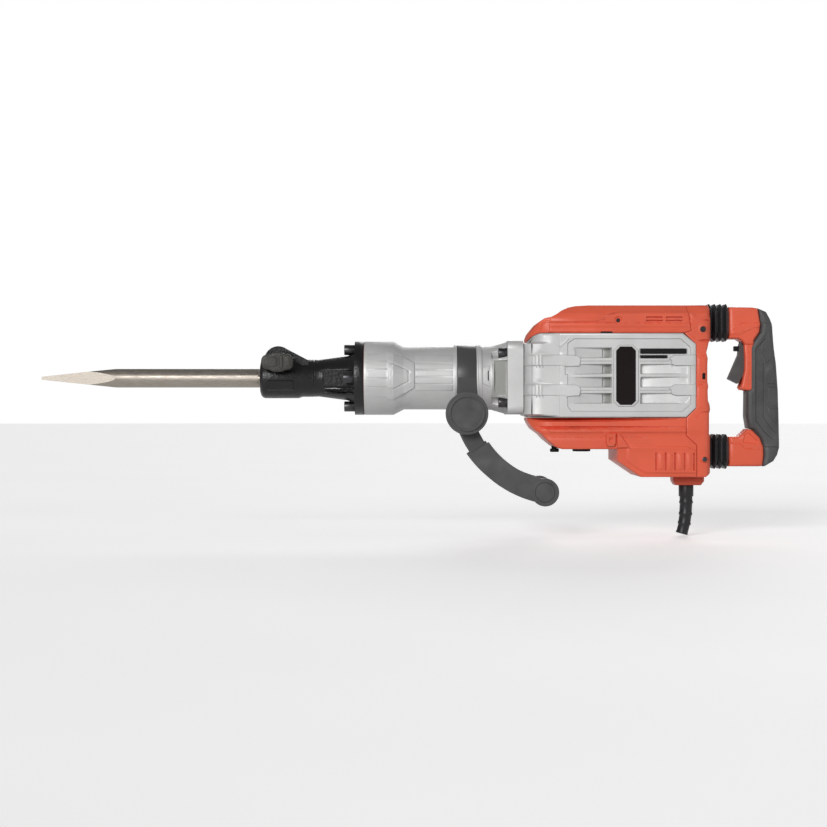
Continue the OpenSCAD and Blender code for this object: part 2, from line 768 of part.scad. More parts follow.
// ---------------------------------------------------------------- side handle
// Band round the barrel with two straight legs down to the clamp bolt
module band_outline(t) {
    translate([0, 0]) circle(band_in + t);
    translate([-band_in - t, clamp_z - 14]) square([2 * (band_in + t), -clamp_z + 14]);
}
band_x = [seat_x[0] + 0.6, seat_x[1] - 0.6];
module handle_band() {
    color(cast_c) difference() {
        translate([band_x[0], 0, 0]) rotate([90, 0, 90]) linear_extrude(band_x[1] - band_x[0]) difference() {
            band_outline(band_t);
            circle(band_in);
            translate([-band_in, clamp_z - 20]) square([2 * band_in, 20 - clamp_z]);
        }
        ybar(clamp_x, clamp_z, -70, 70, clamp_r + bolt_gap);
    }
}
module clamp_saddle() {
    color(cast_c) difference() {
        box(band_x, [0.3 - band_in, band_in - 0.3], [clamp_z - 13, -20]);
        xbar(seat_x[0] - 1, seat_x[1] + 1, band_in);
        ybar(clamp_x, clamp_z, -70, 70, clamp_r + bolt_gap);
        // cast pockets that lighten the ends
        both_sides() box([band_x[0] + 6, band_x[1] - 6], [22, 40], [clamp_z - 14, clamp_z - 6.5]);
    }
}
module clamp_bolt() {
    color(steel_c) {
        ybar(clamp_x, clamp_z, -78, 61.5, clamp_r);
        translate([clamp_x, 67.5, clamp_z]) rotate([90, 0, 0]) cylinder(h = 7, r = 9.2, $fn = 6);
    }
}
knob_y = [-86, -62.5];
module clamp_knob() {
    color(grip_c) difference() {
        union() {
            ybar(clamp_x, clamp_z, knob_y[0] + 3, knob_y[1] - 6, knob_r);
            ybar(clamp_x, clamp_z, knob_y[0], knob_y[1], knob_r - 5);
        }
        ybar(clamp_x, clamp_z, knob_y[0] - 1, knob_y[0] + 2, knob_r - 8);
        ybar(clamp_x, clamp_z, -79, -60, clamp_r + run);
    }
}
// A curved bar in X and Z about the arm's centre, between two angles
module arc_2d(w, a0, a1) {
    far = 400;
    translate(arm_centre) intersection() {
        difference() {
            circle(arm_r + w / 2);
            circle(arm_r - w / 2);
        }
        polygon([[0, 0], for (a = [a0, (a0 + a1) / 2, a1]) far * [cos(a), sin(a)]]);
    }
}
strap_a = [192.6, 258];
sleeve_a = [214, 259];
module handle_straps() {
    color(cast_c) both_sides() difference() {
        slab(strap_y[0], strap_y[1]) {
            arc_2d(strap_w, strap_a[0], strap_a[1]);
            translate([clamp_x, clamp_z]) circle(strap_w / 2 + 3);
        }
        ybar(clamp_x, clamp_z, 40, 70, clamp_r + run);
        ybar(grip_end[0], grip_end[1], 40, 70, 6.2);
    }
}
module arm_sleeves() {
    color(grip_c) both_sides() difference() {
        slab(sleeve_y[0], sleeve_y[1]) {
            arc_2d(sleeve_w, sleeve_a[0], sleeve_a[1]);
            translate(grip_end) circle(21.3);
        }
        slab(strap_y[0] - 0.1, strap_y[1] + 0.1) {
            arc_2d(strap_w + 0.2, strap_a[0], strap_a[1] + 1);
        }
        ybar(grip_end[0], grip_end[1], 40, 70, 6.2);
        ybar(grip_end[0], grip_end[1], sleeve_y[1] - 3, 70, 15);
    }
}
module side_grip() {
    grip_r = 17.5;
    groove_r = grip_r - 1.2;
    ribs = 9;
    half = sleeve_y[0] - 0.1;
    color(grip_c) translate([grip_end[0], half, grip_end[1]]) rotate([90, 0, 0]) difference() {
        rotate_extrude() polygon([[6.1, 0], [grip_r + 2, 0], [grip_r + 2, 3],
            for (i = [0:ribs - 1]) let(s = 6 + i * 9.6)
                each [[grip_r, s], [grip_r, s + 6], [groove_r, s + 7], [groove_r, s + 8.6]],
            [grip_r + 2, 2 * half - 3], [grip_r + 2, 2 * half], [6.1, 2 * half]]);
        translate([0, 0, -1]) cylinder(h = 1, r = 6.1);
    }
}
module grip_caps() {
    color(grip_c) {
        ybar(grip_end[0], grip_end[1], -sleeve_y[1] + 2.9, sleeve_y[1] - 2.9, 6);
        both_sides() ybar(grip_end[0], grip_end[1], sleeve_y[1] - 2.9, sleeve_y[1] + 1, 14.8);
    }
}

// ---------------------------------------------------------------- rear handle
handle_gap = 8.4;
module guide_bars() {
    color(steel_c) for (z = guide_z) translate([0, 0, z]) {
        xbar(rear_x - 7.9, bellows_x[1] + 8, guide_r);
        xbar(rear_x - 12, rear_x - 8.1, 8);
    }
}
module damper_springs() {
    turns = 4;
    wire = 1.6;
    pitch = 7.6;
    color(bright_c) for (z = guide_z, i = [0:turns]) translate([rear_x + 1.8 + pitch * i, 0, z])
        rotate([0, 90, 0]) rotate_extrude() translate([8.5, 0]) circle(wire);
}
module bellows(z, x, half, crests) {
    step = (x[1] - x[0]) / crests;
    mid = (z[0] + z[1]) / 2;
    high = (z[1] - z[0]) / 2;
    color(black_c) for (i = [0:crests - 1]) translate([x[0] + step * i, 0, mid]) rotate([90, 0, 90]) {
        linear_extrude(step * 0.62) difference() {
            rounded([-half, half], [-high, high], 8);
            rounded([5 - half, half - 5], [5 - high, high - 5], 5);
        }
        translate([0, 0, step * 0.6]) linear_extrude(step * 0.4) difference() {
            rounded([3 - half, half - 3], [3 - high, high - 3], 6);
            rounded([5 - half, half - 5], [5 - high, high - 5], 5);
        }
    }
}
module upper_bellows() bellows([57, 115], [bellows_x[0] + 0.2, bellows_x[1] - 0.2], 26, 4);
module lower_bellows() bellows([-141, -87], [bellows_x[0] + 0.2, bellows_x[1] - 0.2], 26, 4);

// Upper arm with the trigger guard below it, and the lower arm
module handle_outline() {
    polygon([[bellows_x[1], arm_top[0]], [742, arm_top[0]], [749, 56], [751, 48], [752, 16], [745, -13],
        [746, -17], [757, -18.7], [766, -18.7], [766, 32], [764, 48], [776, 70], [772, 109],
        [bellows_x[1], arm_top[1]]]);
    polygon([[bellows_x[1], arm_low[1]], [742, arm_low[1]], [750, -86], [757, -78.6], [766, -80.6],
        [776, -92.6], [781, -120], [779, arm_low[0]], [bellows_x[1], arm_low[0]]]);
}
module core_outline() {
    polygon([[756, -19.7], [752, 16], [751, 48], [764, 60], [776, 70], [782, 60], [782, -80], [776, -92],
        [766, -86], [757, -78]]);
}
module grip_outline() {
    polygon([[772.4, 109], [786, 103], [792, 92], [795, 84], [797, 52], [801, 22], [804, -20],
        [grip_x, -97], [grip_x + 1, -108], [803, -119], [797, -129], [783, -137.2],
        [779.3, -137], [781.3, -120], [776.3, -92.2], [766.3, -80], [757.5, -78], [753.5, -60], [754, -19.8],
        [766.3, -19], [766.3, 32], [764.3, 48], [776.3, 70]]);
}
// Hollow of the handle, with the slot that the trigger and the lock button work in
module handle_hollow() {
    polygon([[bellows_x[1] + 4, 66], [752, 66], [743, 62], [740, 53], [740, -14], [754, -12], [762, -16],
        [762, -96], [bellows_x[1] + 4, -96], [bellows_x[1] + 4, -132], [774, -132], [774, -100], [780, -78],
        [780, 62], [770, 74], [768, 105], [bellows_x[1] + 4, 105]]);
}
module handle_half(y0, y1) {
    color(red_c) difference() {
        union() {
            slab(y0, y1) handle_outline();
            slab(max(y0, -12), min(y1, 12)) core_outline();
        }
        slab(-handle_gap, handle_gap) handle_hollow();
        for (z = guide_z) translate([0, 0, z]) xbar(bellows_x[1] - 1, bellows_x[1] + 20, guide_r + gap);
        ybar(pivot_xz[0], pivot_xz[1], -12, 12, pivot_r + 0.05);
    }
}
module rear_handle_left() handle_half(-arm_half, 0);
module rear_handle_right() handle_half(0, arm_half);
module grip_cover() {
    color(grip_c) difference() {
        slab(-arm_half + 1, arm_half - 1) grip_outline();
        slab(-12.1, 12.1) cover_hollow();
    }
}
module cover_hollow() {
    polygon([[740, -19], [740, 60], [776.5, 70.4], [782.4, 60.4], [782.4, -80.4], [776.4, -92.4], [766, -86.4],
        [750, -86.4], [750, -19]]);
}
module switch_unit() {
    color([0.15, 0.15, 0.16]) {
        box([764, 779.5], [-8, 8], [2, 50]);
        box([760, 764.5], [-4, 4], [22, 30]);
        // pin that the trigger turns on
        ybar(pivot_xz[0], pivot_xz[1], -11.9, 11.9, pivot_r);
    }
}
trigger_y = 7.6;
module trigger() {
    color(grip_c) difference() {
        slab(-trigger_y, trigger_y) {
            polygon([[746, 52], [744, 36], [728, -1], [743, -8.6], [750.6, 4], [755, 30], [757, 50],
                [756, 58], [748, 58]]);
        }
        ybar(pivot_xz[0], pivot_xz[1], -10, 10, pivot_r + run);
        box([735, 751], [-4.3, 4.3], [41.7, 50.3]);
    }
}
module lock_button() {
    color(black_c) {
        box([737.5, 747.2], [-4, 4], [42, 50]);
    }
}

// ---------------------------------------------------------------- cord guard
cord_bore = 4.7;
// Bend of each section of the guard, its length and its radius, from the housing down
guard_parts = [[0, 11, 9.9], [3, 18, 9.7], [5, 15, 9.4], [6.5, 15, 9]];
guard_top = -184;
neck_h = 17;
// Sections that follow one another, each tilted on the last, with a ring over each joint
module guard_chain(i, bore) {
    if (i < len(guard_parts)) rotate([0, guard_parts[i][0], 0]) {
        long = guard_parts[i][1];
        last = i == len(guard_parts) - 1;
        if (bore) translate([0, 0, -long - 1]) cylinder(h = long + 2, r = cord_bore);
        else {
            translate([0, 0, -long]) cylinder(h = long + 0.5, r = guard_parts[i][2]);
            translate([0, 0, -long]) cylinder(h = last ? 3 : 4, r = guard_parts[i][2] + (last ? 0.4 : 0.8));
        }
        translate([0, 0, -long]) guard_chain(i + 1, bore);
    }
}
module cord_guard() {
    color(black_c) translate([cord_x, 0, 0]) difference() {
        union() {
            translate([0, 0, guard_top + 8]) cylinder(h = neck_h, r = 8);
            translate([0, 0, guard_top]) cylinder(h = boss_z - 0.2 - guard_top, r = 11.5);
            translate([0, 0, guard_top]) guard_chain(0, false);
        }
        translate([0, 0, guard_top - 1]) cylinder(h = 40, r = cord_bore);
        translate([0, 0, guard_top]) guard_chain(0, true);
    }
}

chisel();
tool_holder();
holder_bushing();
bolt_guide();
impact_bolt();
damper_ring();
retainer_pin();
retainer_knob();
holder_bolts();
flange_gasket();
barrel();
cylinder_liner();
ram();
piston();
piston_rings();
connecting_rod();
wrist_pin();
barrel_bolts();
gear_case();
crankshaft();
crank_gear();
crank_bearings();
pinion_shaft();
large_gear();
shaft_bearings();
gear_cover();
armature_shaft();
armature_core();
commutator();
cooling_fan();
stator();
brush_holders();
carbon_brushes();
label_plates();
vent_grilles();
top_cover();
lower_housing();
rear_housing();
housing_screws();
grease_cap();
handle_band();
clamp_saddle();
clamp_bolt();
clamp_knob();
handle_straps();
arm_sleeves();
side_grip();
grip_caps();
guide_bars();
damper_springs();
upper_bellows();
lower_bellows();
rear_handle_left();
rear_handle_right();
grip_cover();
switch_unit();
trigger();
lock_button();
cord_guard();
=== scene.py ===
import json
import math

import bmesh
import bpy
import numpy as np
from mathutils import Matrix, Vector
from mathutils.geometry import delaunay_2d_cdt


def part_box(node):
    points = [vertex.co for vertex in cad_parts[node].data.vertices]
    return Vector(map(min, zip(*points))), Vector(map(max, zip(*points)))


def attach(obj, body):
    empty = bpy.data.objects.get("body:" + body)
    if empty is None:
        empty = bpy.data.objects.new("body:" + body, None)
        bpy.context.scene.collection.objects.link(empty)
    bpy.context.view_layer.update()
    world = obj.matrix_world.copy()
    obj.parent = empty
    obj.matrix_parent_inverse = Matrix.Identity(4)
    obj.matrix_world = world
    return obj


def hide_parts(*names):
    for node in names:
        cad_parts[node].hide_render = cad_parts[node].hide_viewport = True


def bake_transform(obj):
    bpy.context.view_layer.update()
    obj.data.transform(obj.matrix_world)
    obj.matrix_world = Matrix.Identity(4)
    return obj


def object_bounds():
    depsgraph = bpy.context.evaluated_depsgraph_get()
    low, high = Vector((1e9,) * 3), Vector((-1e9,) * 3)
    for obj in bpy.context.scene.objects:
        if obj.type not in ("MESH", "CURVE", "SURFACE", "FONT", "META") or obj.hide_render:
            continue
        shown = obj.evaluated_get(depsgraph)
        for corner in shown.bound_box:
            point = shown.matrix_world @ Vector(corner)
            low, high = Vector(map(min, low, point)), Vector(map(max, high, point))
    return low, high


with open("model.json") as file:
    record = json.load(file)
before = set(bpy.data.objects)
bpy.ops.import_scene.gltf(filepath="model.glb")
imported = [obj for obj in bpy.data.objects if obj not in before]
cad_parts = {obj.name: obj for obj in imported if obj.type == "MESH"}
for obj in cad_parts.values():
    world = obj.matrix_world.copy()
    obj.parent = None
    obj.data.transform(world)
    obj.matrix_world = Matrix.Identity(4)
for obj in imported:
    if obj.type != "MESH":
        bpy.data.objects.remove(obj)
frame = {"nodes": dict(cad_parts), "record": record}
cad_low, cad_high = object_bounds()
# outlines, profiles and cuts are in millimetres; materials, modifiers and lights in metres
MM = 0.001
TINY = 1e-6
BLACK, WHITE = (0, 0, 0), (1, 1, 1)


# ---------------------------------------------------------------- materials
class Nodes:
    """A short way to write a material's nodes."""

    def __init__(self, name):
        self.material = bpy.data.materials.new(name)
        self.material.use_nodes = True
        self.tree = self.material.node_tree
        self.shader = self.tree.nodes["Principled BSDF"]
        self.place = self.add("ShaderNodeTexCoord").outputs["Object"]

    def add(self, kind, **values):
        node = self.tree.nodes.new(kind)
        for key, value in values.items():
            setattr(node, key, value)
        return node

    def link(self, source, target):
        self.tree.links.new(source, target)

    def noise(self, per_metre, detail=3.0, stretch=None):
        """Noise with about that many blobs to a metre, as a value from 0 to 1."""
        node = self.add("ShaderNodeTexNoise")
        node.inputs["Scale"].default_value = per_metre
        node.inputs["Detail"].default_value = detail
        if stretch:
            mapping = self.add("ShaderNodeMapping")
            mapping.inputs["Scale"].default_value = stretch
            self.link(self.place, mapping.inputs["Vector"])
            self.link(mapping.outputs["Vector"], node.inputs["Vector"])
        else:
            self.link(self.place, node.inputs["Vector"])
        return node.outputs["Fac"]

    def cells(self, per_metre):
        """How far it is to the nearest of about that many points to a metre."""
        node = self.add("ShaderNodeTexVoronoi", feature="F1")
        node.inputs["Scale"].default_value = per_metre
        self.link(self.place, node.inputs["Vector"])
        return node.outputs["Distance"]

    def ramp(self, value, *stops):
        """A colour ramp: stops are (position, colour)."""
        node = self.add("ShaderNodeValToRGB")
        elements = node.color_ramp.elements
        while len(elements) < len(stops):
            elements.new(0.5)
        for element, (position, colour) in zip(elements, stops):
            element.position = position
            element.color = (*colour, 1)
        self.link(value, node.inputs["Fac"])
        return node.outputs["Color"]

    def span(self, value, low, high, start=0.0, end=1.0):
        """value, mapped from start..end to low..high."""
        node = self.add("ShaderNodeMapRange")
        for key, number in (
            ("From Min", start),
            ("From Max", end),
            ("To Min", low),
            ("To Max", high),
        ):
            node.inputs[key].default_value = number
        self.link(value, node.inputs["Value"])
        return node.outputs["Result"]

    def mix(self, factor, first, second):
        """One colour into another. 6, 7 and 2 are the colour sockets of a Mix node."""
        node = self.add("ShaderNodeMix", data_type="RGBA")
        self.link(factor, node.inputs["Factor"])
        self.link(first, node.inputs[6])
        self.link(second, node.inputs[7])
        return node.outputs[2]

    def times(self, first, second):
        node = self.add("ShaderNodeMath", operation="MULTIPLY")
        self.link(first, node.inputs[0])
        self.link(second, node.inputs[1])
        return node.outputs[0]

    def edges(self, radius):
        """1 on rounded corners and edges, 0 on flats."""
        bevel = self.add("ShaderNodeBevel", samples=4)
        bevel.inputs["Radius"].default_value = radius
        flat = self.add("ShaderNodeNewGeometry").outputs["Normal"]
        dot = self.add("ShaderNodeVectorMath", operation="DOT_PRODUCT")
        self.link(bevel.outputs["Normal"], dot.inputs[0])
        self.link(flat, dot.inputs[1])
        return self.span(dot.outputs["Value"], low=1.0, high=0.0, start=0.75, end=0.99)

    def bump(self, *layers):
        """Bump from (height, distance in metres) layers, one on another."""
        previous = None
        for height, distance in layers:
            node = self.add("ShaderNodeBump")
            node.inputs["Strength"].default_value = 1.0
            node.inputs["Distance"].default_value = distance
            self.link(height, node.inputs["Height"])
            if previous is not None:
                self.link(previous, node.inputs["Normal"])
            previous = node.outputs["Normal"]
        self.link(previous, self.shader.inputs["Normal"])

    def set(self, **values):
        """Numbers and colours on the shader's sockets, with _ for each space in their names."""
        for key, value in values.items():
            self.shader.inputs[key.replace("_", " ")].default_value = value


def shade(colour, by):
    """A colour, darker or lighter by that factor."""
    return tuple(min(1, c * by) for c in colour)


def grey(value):
    return (value, value, value)


def moulded_plastic(name, colour, rough=0.38, grain=0.00003, worn=None, gloss=0.45):
    """Injection-moulded plastic: spark-eroded grain, faint flow marks, rubbed edges."""
    n = Nodes(name)
    base = n.ramp(n.noise(22, 4), (0.3, shade(colour, 0.93)), (0.7, shade(colour, 1.05)))
    if worn:
        edges = n.edges(0.0012)
        rubbed = n.times(edges, n.ramp(n.noise(160, 4), (0.42, BLACK), (0.62, WHITE)))
        paler = n.ramp(n.noise(300), (0.0, worn), (1.0, shade(worn, 1.1)))
        base = n.mix(rubbed, base, paler)
    n.link(base, n.shader.inputs["Base Color"])
    n.link(n.span(n.noise(60, 5), rough - 0.06, rough + 0.08), n.shader.inputs["Roughness"])
    n.bump((n.noise(30, 3), grain * 4), (n.noise(1500, 3), grain))
    n.set(Specular_IOR_Level=gloss)
    return n.material


def soft_rubber(name, colour, rough):
    """Rubber, a soft overmould or fibre: fine stipple, dusty in places."""
    n = Nodes(name)
    grain = 0.00005
    dark, light, dusty = shade(colour, 0.8), shade(colour, 1.25), shade(colour, 1.9)
    base = n.ramp(n.noise(35, 5), (0.3, dark), (0.62, light), (0.85, dusty))
    n.link(base, n.shader.inputs["Base Color"])
    n.link(n.span(n.noise(90, 4), rough - 0.1, rough + 0.12), n.shader.inputs["Roughness"])
    n.bump((n.noise(40, 3), grain * 3), (n.cells(1100), grain))
    n.set(Specular_IOR_Level=0.35, Sheen_Weight=0.15, Sheen_Roughness=0.5)
    return n.material


def cast_paint(name, colour, metal=0.4):
    """Silver paint over a die casting: fine orange peel, specks in the pores, brighter edges."""
    n = Nodes(name)
    rough, grain = 0.5, 0.00006
    light = shade(colour, 1.06)
    base = n.ramp(n.noise(18, 5), (0.3, shade(colour, 0.9)), (0.7, light))
    pores = n.ramp(n.cells(900), (0.0, WHITE), (0.12, BLACK))
    speck = n.times(pores, n.ramp(n.noise(70, 3), (0.45, BLACK), (0.7, grey(0.55))))
    dirt = n.ramp(n.noise(200), (0.0, shade(colour, 0.45)), (1.0, shade(colour, 0.55)))
    base = n.mix(speck, base, dirt)
    bright = n.ramp(n.noise(120), (0.0, light), (1.0, shade(colour, 1.15)))
    edges = n.edges(0.001)
    rubbed = n.times(edges, n.ramp(n.noise(90, 4), (0.35, BLACK), (0.7, grey(0.8))))
    base = n.mix(rubbed, base, bright)
    n.link(base, n.shader.inputs["Base Color"])
    n.link(n.span(n.noise(140, 4), rough - 0.08, rough + 0.12), n.shader.inputs["Roughness"])
    n.bump((n.noise(55, 3), grain * 3), (n.noise(900, 4), grain))
    n.set(Metallic=metal)
    return n.material


def enamel_casting(name, colour, rough, grain, chip=(0.2, 0.19, 0.18)):
    """Glossy black enamel on a sand casting, chipped to grey metal on its edges."""
    n = Nodes(name)
    base = n.ramp(n.noise(40, 4), (0.3, shade(colour, 0.7)), (0.8, shade(colour, 1.5)))
    edges = n.edges(0.001)
    chipped = n.times(edges, n.ramp(n.noise(220, 5), (0.55, BLACK), (0.7, grey(0.6))))
    bare = n.ramp(n.noise(300), (0.0, chip), (1.0, shade(chip, 1.5)))
    n.link(n.mix(chipped, base, bare), n.shader.inputs["Base Color"])
    n.link(n.span(n.noise(110, 5), rough - 0.08, rough + 0.16), n.shader.inputs["Roughness"])
    n.bump((n.noise(260, 4), grain), (n.noise(900, 3), grain * 0.2))
    n.set(Specular_IOR_Level=0.4)
    return n.material


def brushed_steel(name, colour, rough, along=(1, 14, 14), stain=(0.3, 0.26, 0.22)):
    """Machined or forged steel: lines along one axis, uneven tone, faint heat stain."""
    n = Nodes(name)
    lines = n.noise(90, 6, along)
    base = n.ramp(lines, (0.3, shade(colour, 0.82)), (0.7, shade(colour, 1.12)))
    patch = n.ramp(n.noise(16, 5), (0.45, BLACK), (0.75, grey(0.5)))
    base = n.mix(patch, base, n.ramp(lines, (0.2, stain), (0.9, shade(stain, 1.3))))
    n.link(base, n.shader.inputs["Base Color"])
    n.link(n.span(lines, rough - 0.07, rough + 0.14, 0.3, 0.7), n.shader.inputs["Roughness"])
    n.bump((lines, 0.00006), (n.noise(35, 4), 0.0002))
    n.set(Metallic=0.9)
    return n.material


# a material for each slot, and three finishes for pieces that look different from their slot
look = {
    "chisel_steel": brushed_steel("forged_chisel", (0.36, 0.325, 0.285), 0.42, along=(1, 9, 9)),
    "machined_steel": brushed_steel("machined_steel", grey(0.6), 0.28),
    "polished_steel": brushed_steel("ground_steel", (0.72, 0.72, 0.73), 0.18),
    "black_casting": enamel_casting("black_enamel", (0.005, 0.005, 0.006), 0.3, 0.0006),
    "black_bolts": brushed_steel("black_oxide", (0.06, 0.06, 0.065), 0.3,
                                 along=(1, 1, 1), stain=(0.1, 0.09, 0.08)),
    "cast_aluminium": cast_paint("silver_casting", (0.62, 0.62, 0.615)),
    "red_plastic": moulded_plastic("red_polyamide", (0.80, 0.122, 0.06), worn=(0.86, 0.32, 0.24)),
    "grey_grip": soft_rubber("grey_soft_grip", (0.068, 0.067, 0.068), 0.5),
    "black_rubber": soft_rubber("black_rubber", (0.010, 0.010, 0.012), 0.4),
    "black_plastic": moulded_plastic("black_plastic", (0.008, 0.008, 0.009), 0.42, gloss=0.15),
    "label_black": moulded_plastic("label_film", (0.009, 0.005, 0.005), 0.25,
                                   grain=0.00001, gloss=0.2),
    "retainer_grey": enamel_casting("bare_casting", (0.045, 0.042, 0.037), 0.45, 0.0005),
    "gasket_paper": soft_rubber("gasket_fibre", (0.4, 0.16, 0.12), 0.7),
    "copper": brushed_steel("enamelled_copper", (0.7, 0.36, 0.2), 0.3),
    "stator_iron": brushed_steel("laminated_iron", (0.25, 0.24, 0.23), 0.45, along=(14, 1, 1)),
    # glossy black enamel whose bright chipped edges are a painted highlight on the holder's ribs
    "enamel_painted_highlight": enamel_casting("enamel_painted_highlight", (0.02, 0.02, 0.022), 0.2, 0.0003,
                                    chip=(0.5, 0.49, 0.47)),
    # a darker copy of the silver casting, laid on pocket floors as painted shade
    "painted_shade_aluminium": cast_paint("painted_shade_aluminium", (0.3, 0.3, 0.285), metal=0.6),
    "painted_steel": moulded_plastic("satin_black_paint", (0.062, 0.062, 0.063), 0.36,
                                     grain=0.00004, gloss=0.4),
    "brass": brushed_steel("satin_brass", (0.72, 0.55, 0.26), 0.3),
}


# ---------------------------------------------------------------- mesh kit
def shaded(name, mesh, finish, sharp=32):
    """A mesh as an object, smooth but for edges of more than sharp degrees."""
    mesh.materials.append(look[finish])
    mesh.polygons.foreach_set("use_smooth", [True] * len(mesh.polygons))
    mesh.set_sharp_from_angle(angle=math.radians(sharp))
    piece = bpy.data.objects.new(name, mesh)
    bpy.context.scene.collection.objects.link(piece)
    return piece


def mesh_of(name, points, faces):
    """A mesh from points in millimetres."""
    mesh = bpy.data.meshes.new(name)
    mesh.from_pydata([(x * MM, y * MM, z * MM) for x, y, z in points], [], faces)
    tidy = bmesh.new()
    tidy.from_mesh(mesh)
    bmesh.ops.remove_doubles(tidy, verts=tidy.verts, dist=TINY)
    bmesh.ops.recalc_face_normals(tidy, faces=tidy.faces)
    tidy.to_mesh(mesh)
    tidy.free()
    return mesh


def depth_in(outline, x, z):
    """How deep each point is inside an outline, negative outside."""
    points = np.array(outline, float)
    following = np.roll(points, -1, axis=0)
    nearest = np.full(x.shape, np.inf)
    inside = np.zeros(x.shape, bool)
    for (ax, az), (bx, bz) in zip(points, following):
        dx, dz = bx - ax, bz - az
        along = np.clip(((x - ax) * dx + (z - az) * dz) / (dx * dx + dz * dz), 0, 1)
        nearest = np.minimum(nearest, np.hypot(x - ax - along * dx, z - az - along * dz))
        crosses = (az > z) != (bz > z)
        inside ^= crosses & (x < dx * (z - az) / (dz or 1) + ax)
    return np.where(inside, nearest, -nearest)


# a corner's mitre is cut short where its share of a square one would fall below this
SHARPEST_MITRE = 0.35


def inset(outline, distance):
    """The outline moved inwards, its corners mitred."""
    points = [Vector(p) for p in outline]
    area = sum(a.x * b.y - b.x * a.y for a, b in zip(points, points[1:] + points[:1]))
    turn = 1 if area > 0 else -1
    result = []
    for before, here, after in zip(points[-1:] + points[:-1], points, points[1:] + points[:1]):
        first = (here - before).normalized()
        second = (after - here).normalized()
        normal = Vector((-first.y - second.y, first.x + second.x)) * turn
        if normal.length < TINY:
            continue
        normal.normalize()
        reach = distance / max(SHARPEST_MITRE, normal.dot(Vector((-first.y, first.x)) * turn))
        result.append(tuple(here + normal * reach))
    return result


def smooth(t):
    """0 to 1 as t goes from 0 to 1, level at both ends."""
    t = np.clip(t, 0, 1)
    return t * t * (3 - 2 * t)


def split(outline, step):
    """The outline with points added, about step apart."""
    result = []
    for a, b in zip(outline, outline[1:] + outline[:1]):
        count = max(1, round(math.dist(a, b) / step))
        result += [
            (a[0] + (b[0] - a[0]) * i / count, a[1] + (b[1] - a[1]) * i / count)
            for i in range(count)
        ]
    return result


def between(a, b, shares):
    """Points on the line from a to b, at those shares of its length."""
    return [(a[0] + (b[0] - a[0]) * t, a[1] + (b[1] - a[1]) * t) for t in shares]


class Feature:
    """A raised or sunk area: its outline, its level above base and how wide its wall is.

    The level is a number or a function of x and z. With blend it is added to what is below it.
    """

    # where the loops across a wall stand, and how far apart the points on them are on a slope
    ACROSS_WALL = (0.001, 0.3, 0.7, 1)
    SLOPE_STEP = 2.5

    def __init__(self, outline, level, wall, blend=False):
        self.outline = outline
        self.level = level
        self.wall = wall
        self.blend = blend

    def apply(self, height, x, z):
        share = smooth(depth_in(self.outline, x, z) / self.wall)
        level = self.level(x, z) if callable(self.level) else self.level
        if self.blend:
            return height + share * level
        return height * (1 - share) + share * level

    def loops(self):
        """Lines of points across the wall, with more points on them where the level changes."""
        loops = [inset(self.outline, self.wall * t) for t in self.ACROSS_WALL]
        if callable(self.level):
            return [split(loop, self.SLOPE_STEP) for loop in loops]
        return loops


def added(outline, level, wall):
    """A feature whose level is added to what is below it."""
    return Feature(outline, level, wall, blend=True)


def slab_of(x0, x1, z0, z1, corner=0):
    """A rectangle, its corners cut off by corner."""
    if not corner:
        return [(x0, z0), (x1, z0), (x1, z1), (x0, z1)]
    c = corner
    return [(x0 + c, z0), (x1 - c, z0), (x1, z0 + c), (x1, z1 - c),
            (x1 - c, z1), (x0 + c, z1), (x0, z1 - c), (x0, z0 + c)]


def softened(outline):
    """The outline with its corners cut."""
    pairs = zip(outline, outline[1:] + outline[:1])
    return [point for a, b in pairs for point in between(a, b, (0.25, 0.75))]


def line_of(points, wide):
    """A groove's outline along a line of points."""
    left, right = [], []
    points = [Vector(p) for p in points]
    for i, here in enumerate(points):
        before = points[max(0, i - 1)]
        after = points[min(len(points) - 1, i + 1)]
        way = (after - before).normalized()
        across = Vector((-way.y, way.x)) * wide / 2
        left.append(tuple(here + across))
        right.append(tuple(here - across))
    return left + right[::-1]


def groove(points, wide, deep):
    """A moulded line, sunk below what is round it."""
    return added(line_of(points, wide), -deep, wide * 0.45)


# where the loops of a rounding stand, and how deep it goes at the rim, in shares of its width
ACROSS_ROUNDING = (0.12, 0.4, 1.0)
ROUNDING_DEPTH = 0.9
# how far inside the rim the grid starts, and how close two points may stand
CLEAR_OF_RIM = 0.6
MERGE = 1e-4


